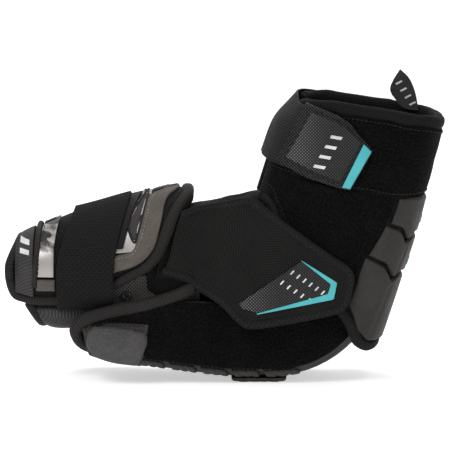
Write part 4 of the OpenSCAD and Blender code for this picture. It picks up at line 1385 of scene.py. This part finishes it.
@dataclass
class ForearmGuard(Assembly):
    """The padded cuff over the forearm and the small pad under it."""

    front: float = -168.0
    rear: float = -31.0
    pad_low: float = -7.8
    body: str = "forearm"

    def cuff(self) -> None:
        """The padded barrel and the binding round its edge."""
        xs = np.linspace(self.front, self.rear, 14)
        near = [(x, CUFF.edge(x, 2.5)) for x in xs]
        far = [(x, -v) for x, v in near]
        pad = Panel(CUFF, far, near, low=self.pad_low, high=-0.4, rim=3.0, step=3.0,
                    wrinkle=0.2).build("cuff_pad")

        def sewn(p: np.ndarray) -> np.ndarray:
            """Firm along the edges and under the inlays, loose between them."""
            rows = np.min(np.abs(p[:, :1] - np.array([-168, -150, -136, -88, -60, -34])), axis=1)
            return np.clip(1.1 - rows / 9, 0.3, 1)

        puff(pad, 1.2, 3.2, 2.5, sewn)
        self.fit(pad, SHELL, "cuff_pad", "cuff_plate", "cuff_liner", in_space=True)
        line_inside_out(pad, lambda p: np.stack([p[:, 0], p[:, 1] * 0, p[:, 1] * 0 + AXIS_Z], -1), LINING)
        low = [(x, CUFF.edge(x))
               for x in (-166, -160, -150, -138, -124, -106, -88, -74, -62, -53, -47, -41, -35)]
        front = [(-170.5 + 8 * math.cos(math.radians(v)) ** 2, v) for v in range(100, -101, -25)]
        rear = [(-30, v) for v in (-18, -8, 0, 8, 18)]
        loop = fair(front + [(x, -v) for x, v in low] + rear + low[::-1], 500, closed=True)
        at, ups = along_surface(CUFF, loop, -3.6, 1.8)
        at, ups = at[:-1], ups[:-1]
        wide = 1 + 0.22 * smooth((at[:, 0] + 75) / 40)
        binding = sweep("cuff_binding", at, ups, oval(4.0, 4.6, 14, 0.75), True, wide)
        self.fit(binding, TAPE, "cuff_binding")

    def front_end(self, stitches: Stitching) -> None:
        """The woven end panel, the cord beside it and the front inlays."""
        panel = Panel(CUFF, [(-166, -112), (-151.5, -117)], [(-166, 112), (-151.5, 117)], low=0, high=1.5,
                      rim=0.9, step=2.2).build("cuff_end_panel")
        self.fit(panel, WOVEN, "cuff_end_panel")
        self.cloth(panel, rests_on=["cuff_pad"])
        for side, name in both("cuff_dashes"):
            dash = bars(name, CUFF, (-158.6, 102), (-158.6, 109), 2, (7.5, 3.6), 1.4, 1.5, side)
            self.fit(dash, PALE_INK)
            stitches.row(CUFF, fair([(-164.3, v) for v in (5, 30, 60, 100)]), 1.5, side)
        turns = np.linspace(-106, 106, 40)
        at, ups = along_surface(CUFF, np.stack([-147.6 - 3 * (turns / 106) ** 2, turns], -1), 1.3, 1.2)
        cord = sweep("cuff_cord", at, ups, oval(2.1, 2.0, 12, 1), swell=ribbed(len(at), span(at), 1.6, 0.08))
        self.fit(cord, PIPING, "cuff_cord")
        made = []
        for side, name in both("cuff_front_film"):
            front = [(-149, 97.5), (-147.6, 60), (-144.6, 8)]
            rear = [(-135, 97.5), (-134.6, 60), (-131, 8)]
            film = Panel(CUFF, *between(front, rear), low=0.1, high=1.5, rim=0.9, step=2).build(name, side)
            self.fit(film, FILM, "cuff_inlay_front")
            tile = Panel(CUFF, [(-149.6, 99.5), (-134, 99.5)], [(-149.6, 110.5), (-134, 110.5)], low=0.1,
                         high=1.9, rim=1.2, step=2)
            made.append(tile.build("tile", side))
            stitches.row(CUFF, fair([(-147.8, 95), (-146.6, 60), (-144, 30), (-143.4, 10)]), 1.5, side)
        self.fit(join("cuff_tiles", made), TRIM)

    def rear_end(self, stitches: Stitching, pale: Stitching) -> None:
        """The rear inlays with their pockets, and the trim that frames them."""
        for side, name in both("cuff_rear_film"):
            front = [(-87, 104.5), (-86, 126), (-75.5, 146)]
            rear = [(-69, 106), (-66, 126), (-58, 149.5)]
            film = Panel(CUFF, *between(front, rear), low=0.1, high=1.5, rim=0.9, step=2,
                         seen=True).build(name, side)
            self.fit(film, FILM, "cuff_inlay_rear")
            front = [(-73, 115), (-75.4, 127), (-66.7, 143.3)]
            rear = [(-70, 114.6), (-68.4, 127), (-62.5, 147.6)]
            pocket = Panel(CUFF, *between(front, rear), low=1.2, high=2.0, rim=0.8, step=1.6, seen=True)
            self.fit(pocket.build(name.replace("film", "pocket"), side), WOVEN)
            ring = fair([(-71, 113), (-75, 119), (-76, 127), (-72.4, 136.5), (-66.7, 143.6), (-61, 149.4),
                         (-63.7, 137), (-67.8, 122.4)], 80, closed=True)
            at, ups = along_surface(CUFF, np.array([CUFF.locate(x, z) for x, z in ring]), 1.9, 1.0, side)
            pipe = sweep(name.replace("film", "pocket_frame"), at[:-1], ups[:-1], oval(0.9, 0.9, 10, 1), True)
            self.fit(pipe, PIPING, "cuff_pocket_frame")
            outer = [(-36, 153.4), (-46, 145.8), (-50.6, 127.5), (-56.4, 108.2), (-69, 96), (-88.5, 89.2)]
            inner = [(-48, 151), (-60.5, 146), (-65, 134), (-69, 119), (-73.5, 107), (-88.5, 103)]
            trim = Panel(CUFF, outer, inner, low=0.1, high=2.3, rim=1.7, step=2, seen=True)
            self.fit(trim.build(name.replace("film", "trim"), side), TRIM, "cuff_trim")
            row = [(a * 0.24 + c * 0.76, b * 0.24 + d * 0.76) for (a, b), (c, d) in zip(outer, inner)]
            pale.row(CUFF, seen_line(CUFF, row), 2.3, side, 2.2, 1.0)
            stitches.row(CUFF, fair([(x, CUFF.edge(x, 8.5)) for x in (-128, -110, -92, -80)]), -0.1, side)

    def lower_pad(self) -> None:
        """The small pad under the forearm and its mesh walls."""
        def channels(a: np.ndarray, b: np.ndarray, at: np.ndarray) -> np.ndarray:
            """Sewn channels across the pad."""
            return -0.5 * np.exp(-(np.abs((a * 4) % 1 - 0.5) / 0.05) ** 2)

        front = [(-154, -86), (-143, 0), (-154, 86)]
        pad = Panel(LOWER_PAD, [front[0], (-62, -86)], [front[-1], (-62, 86)], front, low=-6.8, high=-0.4,
                    rim=2.6, step=2.6, relief=channels).build("lower_pad")

        def sewn(p: np.ndarray) -> np.ndarray:
            """Firm at the sides and in front, loose between them."""
            return np.clip(0.35 + (np.abs(p[:, 1]) > 30) + (p[:, 0] < -150), 0, 1)

        puff(pad, 2.0, 3.0, 3.0, sewn)
        self.fit(pad, WOVEN, "forearm_lower_pad", in_space=True)
        turns = np.linspace(-86, 86, 40)
        at, ups = along_surface(LOWER_PAD, np.stack([-144.5 - 11 * (turns / 86) ** 2, turns], -1), -3.2, 1.6)
        self.fit(sweep("lower_pad_binding", at, ups, oval(3.9, 4.0, 14, 0.8)), TAPE, "lower_pad_binding")
        for side, name in both("forearm_mesh"):
            wall = Panel(WallSurface(-33.5 * side.value), [(-120, 58), (-64, 60), (-20, 62)],
                         [(-120, 78), (-64, 86), (-20, 92)], low=0, high=0.9, rim=0.4, step=3.5, wrinkle=0.5,
                         wave=22, under=1.0).build(name)
            self.fit(wall, MESH, "forearm_mesh")
            self.cloth(wall, "stretched", ["cuff_pad", "forearm_lower_pad"])
        turn = np.linspace(0, 2 * math.pi, 33)[:-1]
        ring = np.stack([-78 + 2.7 * np.cos(turn), np.full(32, -36.4), 70 + 2.7 * np.sin(turn)], -1)
        keeper = sweep("strap_ring", ring, np.tile([0.0, -1.0, 0.0], (32, 1)), oval(0.85, 1.2, 10, 0.9), True)
        self.fit(keeper, GLOSS, "strap_ring")

    def build(self) -> None:
        """Builds the forearm guard."""
        stitches, pale = Stitching(), Stitching()
        self.cuff()
        self.front_end(stitches)
        self.rear_end(stitches, pale)
        self.lower_pad()
        self.fit(stitches.build("cuff_stitches"), THREAD)
        self.fit(pale.build("trim_stitches"), PALE_THREAD)


@dataclass
class ForearmStrap(Assembly):
    """The perforated elastic that runs under the forearm and closes over the cuff."""

    left: float = -133.0
    width: float = 45.0
    thick: float = 1.9
    body: str = "forearm_strap"

    def build(self) -> None:
        """Builds the strap and its hook patch."""
        wrap = WrapSurface(self.left, self.width)

        def rolled(a: np.ndarray, b: np.ndarray, at: np.ndarray) -> np.ndarray:
            """Slightly raised selvedges."""
            return 0.35 * (np.exp(-((a - 0.04) / 0.03) ** 2) + np.exp(-((a - 0.96) / 0.03) ** 2))

        strap = Panel(wrap, [(0, 0), (1, 0)], [(0, 1), (1, 1)], low=0, high=self.thick, rim=0.8, step=2.2,
                      relief=rolled, wrinkle=0.3, wave=30, under=1.0).build("forearm_strap")
        self.fit(strap, ELASTIC, "forearm_strap", "strap_base", body="")
        self.cloth(strap, "stretched", ["cuff_pad", "forearm_lower_pad"])
        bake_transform(strap)
        hooks = Panel(CUFF, [(-116, 72), (-80.5, 72)], [(-106, 4), (-65.5, 4)], low=1.9, high=3.3, rim=0.5,
                      step=2.4).build("forearm_strap_hooks")
        self.fit(hooks, HOOKS, "forearm_strap_hook")
        self.cloth(hooks, rests_on=["forearm_strap"])


@dataclass
class BicepGuard(Assembly):
    """The guard round the upper arm, with its collar, velvet and moulded back blocks."""

    wall: float = 5.8
    ends: float = 190.0
    band_in: float = 6.1
    skin: float = 7.6
    block_low: float = 6.3
    block_high: float = 9.2
    collar_r: float = 5.2
    body: str = "bicep"
    band_edge: Profile = field(default_factory=lambda: Profile(
        [(0, 94), (35, 93), (72, 86), (105, 79.5), (135, 77), (200, 75)], 4))

    def ring(self, low: Callable, high: Callable, reach: float, count: int = 24) -> tuple[list, list]:
        """The two edges of a band round the guard, from one end to the other."""
        turns = np.linspace(-reach, reach, count)
        return [(float(low(abs(v))), v) for v in turns], [(float(high(abs(v))), v) for v in turns]

    def shell(self) -> None:
        """The padded wall and its lining."""
        low, high = self.ring(GUARD.low_edge, lambda v: GUARD.high_edge(v) - 1, self.ends, 40)
        wall = Panel(GUARD, low, high, low=0, high=self.wall, rim=2.6, step=4.0).build("guard_wall")
        puff(wall, 1.0, 3.6, 2.5, lambda p: np.clip(0.3 + 0.7 * (np.abs(p[:, 1]) < 30), 0, 1))
        self.fit(wall, SHELL, "guard_shell", "guard_plate", "guard_liner", in_space=True)

        def middle(p: np.ndarray) -> np.ndarray:
            """The middle line of the upper arm."""
            s = (p[:, 0] - AXIS_X) * math.sin(GUARD.lean) + (p[:, 2] - AXIS_Z) * math.cos(GUARD.lean)
            return GUARD.at(s, np.full(len(p), 30.0), np.zeros(len(p)))

        line_inside_out(wall, middle, LINING)

    def velvet(self, stitches: Stitching) -> None:
        """The loop panels on both sides and the loop band round the top."""
        bottom = [(62, 184), (57, 165), (34, 135), (16, 112), (-3, 92), (-10, 85)]
        top = [(74, 184), (76, 150), (78.5, 112), (82, 88), (84.5, 73)]
        rear = [bottom[-1], (28, 84), (36, 82), (60, 77), top[-1]]
        for side, name in both("guard_velvet"):
            panel = Panel(GUARD, bottom, top, [bottom[0], top[0]], rear, low=self.band_in, high=self.skin,
                          rim=1.0, step=2.8, wrinkle=0.2).build(name, side)
            self.fit(panel, VELVET, "guard_loop_" + side.name.lower())
            self.cloth(panel, rests_on=["guard_shell"])
            stitches.row(GUARD, fair([(s + 2.2, v) for s, v in bottom]), self.skin, side)
        low, high = self.ring(lambda v: self.band_edge(v) + 0.5, lambda v: GUARD.high_edge(v) - 4.5,
                              self.ends - 3, 40)
        band = Panel(GUARD, low, high, low=self.band_in, high=self.skin + 0.3, rim=1.2, step=2.8,
                     wrinkle=0.25).build("guard_top_band")
        self.fit(band, VELVET, "guard_top_band")
        self.cloth(band, rests_on=["guard_shell"])
        for side in Side:
            stitches.row(GUARD, np.array(low)[20:] + (2.0, 0), self.skin + 0.3, side)
            stitches.row(GUARD, np.array(high)[20:] - (2.0, 0), self.skin + 0.3, side)

    def bindings(self) -> None:
        """The rolled collar and the bindings of the other edges."""
        turns = np.linspace(-self.ends, self.ends, 90)
        at, ups = along_surface(GUARD, np.stack([GUARD.high_edge(np.abs(turns)), turns], -1), 3.4, 1.6)
        swell = 1 + 0.035 * ripple(at, 11, 21) + 0.03 * ripple(at, 34, 22)
        roll = oval(self.collar_r, self.collar_r - 0.8, 18, 0.9)
        self.fit(sweep("guard_collar", at, ups, roll, swell=swell), SHELL, "guard_collar")
        turns = np.linspace(-182, 182, 90)
        at, ups = along_surface(GUARD, np.stack([GUARD.low_edge(np.abs(turns)) - 1.5, turns], -1), 3.4, 2.0)
        binding = sweep("guard_lower_binding", at, ups, oval(4.2, 4.8, 14, 0.75))
        self.fit(binding, DARK_TAPE, "guard_lower_binding")
        for side, name in both("guard_front_binding"):
            rise = np.stack([np.linspace(50, 132, 30), np.linspace(187, 190, 30)], -1)
            at, ups = along_surface(GUARD, rise, 3.6, 2.0, side)
            self.fit(sweep(name, at, ups, oval(5.4, 4.4, 14, 0.7)), DARK_TAPE, name)

    def blocks(self) -> None:
        """Three moulded blocks down the back, with chevron edges and accents in their grooves."""
        tooth = [(0, -2.0), (26, -2.0), (39, -9.0), (54, -0.5), (71, 0.0)]
        reach = tooth[-1][0]

        def edge(heights: Pairs) -> list[tuple[float, float]]:
            """A block's edge from the far to the near side."""
            half = [(s, v) for v, s in heights]
            return [(s, -v) for s, v in reversed(half[1:])] + half

        def chevron(level: float, end: float, lift: float = 0.0) -> list[tuple[float, float]]:
            """A toothed edge at a height, out to the angle end, where it is lifted."""
            return edge([(v * end / reach, level + rise + lift * (v / reach) ** 2) for v, rise in tooth])

        def facets(a: np.ndarray, b: np.ndarray, at: np.ndarray) -> np.ndarray:
            """Bevels that fall away to both sides of a flat middle, with a moulded line along each."""
            off = np.abs(a - 0.5) * 2
            line = np.exp(-((off - 0.62) / 0.018) ** 2) + np.exp(-((off - 0.28) / 0.018) ** 2)
            return -0.9 * np.clip((off - 0.62) / 0.38, 0, 1) ** 1.5 - 0.6 * line * (np.abs(b - 0.5) < 0.42)

        rows = {
            "guard_block_upper": (chevron(64, 71), edge([(0, 92), (30, 92), (52, 89), (70, 84.5)])),
            "guard_block_middle": (chevron(31, 82, 4), chevron(61.4, 76)),
            "guard_block_lower": (edge([(0, -26), (30, -28), (52, -30.5), (70, -25), (85, -7)]),
                                  chevron(28.4, 84, 4)),
        }
        for name, (low, high) in rows.items():
            block = Panel(GUARD, low, high, low=self.block_low, high=self.block_high, rim=2.2, step=1.9,
                          crown=0.3, sharp=True, relief=facets).build(name)
            self.fit(block, FOAM, name)
        chips = []
        for side in Side:
            for s in (73, 38):
                chip = Panel(GUARD, [(s - 3.5, 1), (s - 3.5, 18)], [(s + 3.5, 1), (s + 3.5, 15)],
                             low=self.block_high - 1.2, high=self.block_high + 0.8, rim=0.5, step=1)
                chips.append(chip.build("chip", side))
        self.fit(join("guard_accents", chips), TEAL, "guard_accents")

    def build(self) -> None:
        """Builds the guard."""
        stitches = Stitching()
        self.shell()
        self.velvet(stitches)
        self.bindings()
        self.blocks()
        self.fit(stitches.build("guard_stitches"), THREAD)


@dataclass
class BicepStrap(Assembly):
    """The ribbed webbing round the front of the guard, and its printed tab."""

    inner: float = 8.8
    web_high: float = 10.6
    tab_high: float = 11.8
    hook_thick: float = 0.7
    low_s: float = 81.0
    high_s: float = 130.0
    body: str = "bicep_strap"

    def bend(self, piece: bpy.types.Object) -> None:
        """Bakes a piece's placement into its mesh."""
        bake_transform(piece)

    def build(self) -> None:
        """Builds the strap."""
        lower = [(self.low_s + rise, v) for rise, v in ((0, 150), (0, 190), (1, 225), (2, 300))]
        upper = [(self.high_s + rise, v) for rise, v in ((0, 150), (2, 190), (6, 225), (9, 300))]
        web = Panel(GUARD, lower, upper, low=self.inner, high=self.web_high, rim=0.8, step=2.0, wrinkle=0.3,
                    under=1.0).build("bicep_web")
        self.fit(web, WEBBING, "bicep_strap_web", body="")
        self.cloth(web, "stretched", ["guard_shell"])
        self.bend(web)
        bottom = [(42, 178), (64, 166), (90, 157.5), (98, 156)]
        top = [(66, 224), (88, 215.5), (97, 209.5), (109, 195), (116, 187)]
        tab = Panel(GUARD, bottom, top, [bottom[0], top[0]], [bottom[-1], top[-1]], low=self.inner + 0.2,
                    high=self.tab_high, rim=1.0, step=2.0, seen=True, sharp=True,
                    under=0.6).build("bicep_tab")
        self.fit(lay_flat(tab), DOTTED, "bicep_tab")
        self.cloth(tab, "stretched", ["guard_shell"])
        low = [(49.5, 181), (68, 171), (86, 163.5), (90.5, 162.3)]
        high = [(69.5, 217.5), (87, 210.5), (95, 205), (107, 193.5)]
        label = Panel(GUARD, low, high, [low[0], high[0]], [low[-1], high[-1]], low=self.tab_high - 0.4,
                      high=self.tab_high + 0.5, rim=0.5, step=2.0, seen=True, sharp=True).build("bicep_label")
        self.fit(lay_flat(label), TAB_PRINT, "bicep_label")
        frame_line = seen_line(GUARD, low + high[::-1] + low[:1], 120, straight=True)
        at, ups = along_surface(GUARD, frame_line, self.tab_high + 0.4, 1.2)
        border = sweep("bicep_tab_border", at[:-1], ups[:-1], oval(0.8, 0.6, 10, 1), True)
        self.fit(border, TAPE, "bicep_tab_border")
        stripe = Panel(GUARD, [(91.5, 158.6), (98, 157.4)], [(108.5, 192.8), (114.6, 186.8)],
                       low=self.tab_high - 0.2, high=self.tab_high + 0.6, rim=0.5, step=1.6, seen=True,
                       sharp=True).build("bicep_stripe")
        self.fit(stripe, TEAL, "bicep_stripe")
        dashes = bars("bicep_dashes", GUARD, (74, 175), (87, 198), 4, (8.5, 2.8), self.tab_high + 0.3, -3.0)
        self.fit(dashes, PALE_INK)
        stitches = Stitching()
        rim = [(46, 179.3), (67, 168.5), (88, 160.6)], [(67.5, 221), (87.5, 213), (96.5, 207), (108.5, 195)]
        for row in rim + ([(45.5, 180.5), (66, 219.5)],):
            stitches.row(GUARD, seen_line(GUARD, row, straight=True), self.tab_high, length=2.0, space=0.9)
        self.fit(stitches.build("bicep_tab_stitches"), THREAD)
        hooks = Panel(GUARD, [(88, 104), (88, 128)], [(116, 104), (118, 128)],
                      low=self.inner - self.hook_thick, high=self.inner, rim=0.3, step=3).build("bicep_hooks")
        self.fit(hooks, HOOKS, "bicep_hook_patch")
        self.cloth(hooks, rests_on=["bicep_tab"])


@dataclass
class SideTag(Assembly):
    """The folded loop of ribbon at the top of the far side."""

    inner_y: float = 43.0
    thick: float = 0.9
    gap: float = 0.2
    body: str = "side_tag"

    def build(self) -> None:
        """Builds the loop and the plain dash on it."""
        wall = WallSurface(self.inner_y + self.gap)
        front = [(135, 223), (133.5, 227), (134, 231)]
        rear = [(156.5, 210.5), (154, 224.5), (149, 236.5), (141.5, 244)]
        made = []
        for low, seed in ((0.0, 3), (self.thick + self.gap, 4)):
            layer = Panel(wall, [front[0], (144, 213), rear[0]], [front[-1], (137, 237), rear[-1]], front,
                          rear, low=low, high=low + self.thick, rim=0.4, step=2.0, wrinkle=0.4, wave=16,
                          under=1.0, seed=seed)
            made.append(layer.build("tag"))
        tag = join("side_tag", made)
        self.fit(tag, RIBBON, "side_tag")
        # The dashes face the near side, so a sheet that looks that way is set back to the tag
        face = -2 * self.inner_y - 0.1
        sheet = WallSurface(-self.inner_y)
        dashes = bars("side_tag_dashes", sheet, (140, 234), (151, 217), 4, (5.5, 1.6), face, 0.5)
        self.fit(dashes, PALE_INK)


@dataclass
class Studio:
    """Pale floor and backdrop, soft lights and the camera."""

    floor_size: float = 9.0
    bend: float = 2.0
    wall_high: float = 5.0
    camera_rise: float = 6.5
    camera_distance: float = 3.0
    target: tuple = (0.0, 0.0, 0.1222)
    lens: float = 300.0

    def backdrop(self) -> None:
        """A floor that curves up into a wall."""
        half = self.floor_size / 2
        turn = np.radians(np.linspace(0, 90, 24))
        bend = self.bend
        curve = [(half - bend + bend * math.sin(t), bend - bend * math.cos(t)) for t in turn]
        run = [(-half, 0.0)] + curve + [(half, self.wall_high)]
        points = np.array([(x, y, z) for y, z in run for x in (-half, half)]) / MM
        faces = [(2 * i, 2 * i + 1, 2 * i + 3, 2 * i + 2) for i in range(len(run) - 1)]
        floor = new_piece("studio_floor", points, faces)
        make = Shader("studio_paper")
        spots = make.add("ShaderNodeTexCoord", {})
        cloud = make.noise(spots.outputs["Object"], 2.5)
        make.feed(make.face.inputs["Base Color"], make.mix(cloud, (0.86, 0.86, 0.86, 1), (0.9, 0.9, 0.9, 1)))
        make.face.inputs["Roughness"].default_value = 0.9
        make.face.inputs["Emission Color"].default_value = (1, 1, 1, 1)
        make.face.inputs["Emission Strength"].default_value = 0.5
        floor.data.materials.append(make.material)

    def light(self, name: str, place: tuple, size: float, power: float) -> None:
        """A soft square light that looks at the pad."""
        data = bpy.data.lights.new(name, "AREA")
        data.size = size
        data.energy = power
        lamp = bpy.data.objects.new(name, data)
        lamp.location = place
        lamp.rotation_euler = (Vector(self.target) - Vector(place)).to_track_quat("-Z", "Y").to_euler()
        bpy.context.scene.collection.objects.link(lamp)

    def build(self) -> None:
        """Builds the studio."""
        self.backdrop()
        world = bpy.data.worlds.new("studio_air")
        world.use_nodes = True
        world.node_tree.nodes["Background"].inputs[0].default_value = (1, 1, 1, 1)
        world.node_tree.nodes["Background"].inputs[1].default_value = 0.36
        bpy.context.scene.world = world
        bpy.context.scene.view_settings.view_transform = "Standard"
        self.light("key", (-1.1, -1.5, 1.7), 0.9, 30)
        self.light("fill", (1.6, -1.6, 0.9), 1.2, 9)
        self.light("top", (0.2, 0.6, 1.9), 1.2, 22)
        rise = math.radians(self.camera_rise)
        data = bpy.data.cameras.new("camera")
        data.lens = self.lens
        data.sensor_width = 36.0
        camera = bpy.data.objects.new("camera", data)
        aim = Vector(self.target)
        camera.location = aim + Vector((0, -math.cos(rise), math.sin(rise))) * self.camera_distance
        camera.rotation_euler = (aim - camera.location).to_track_quat("-Z", "Y").to_euler()
        bpy.context.scene.collection.objects.link(camera)
        bpy.context.scene.camera = camera


def dress_hidden_nodes() -> None:
    """Gives the nodes that stay a proper finish instead of their plain one."""
    for name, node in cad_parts.items():
        if not node.hide_render:
            for spot in node.material_slots:
                spot.material = FOAM.material(True)
            log.info("kept node %s", name)


def corners(box: Sequence) -> list[list[float]]:
    """A box as plain lists of numbers."""
    return [[float(c) for c in corner] for corner in box]


def main() -> None:
    """Builds every assembly in order and dresses the nodes that stay."""
    logging.basicConfig(level=logging.INFO, format="%(name)s: %(message)s")
    for assembly in (Studio(), ElbowCap(), AnchorStrap(), ForearmGuard(), ForearmStrap(), BicepGuard(),
                     BicepStrap(), SideTag()):
        log.info("building %s", type(assembly).__name__)
        assembly.build()
    dress_hidden_nodes()


if __name__ == "__main__":
    main()
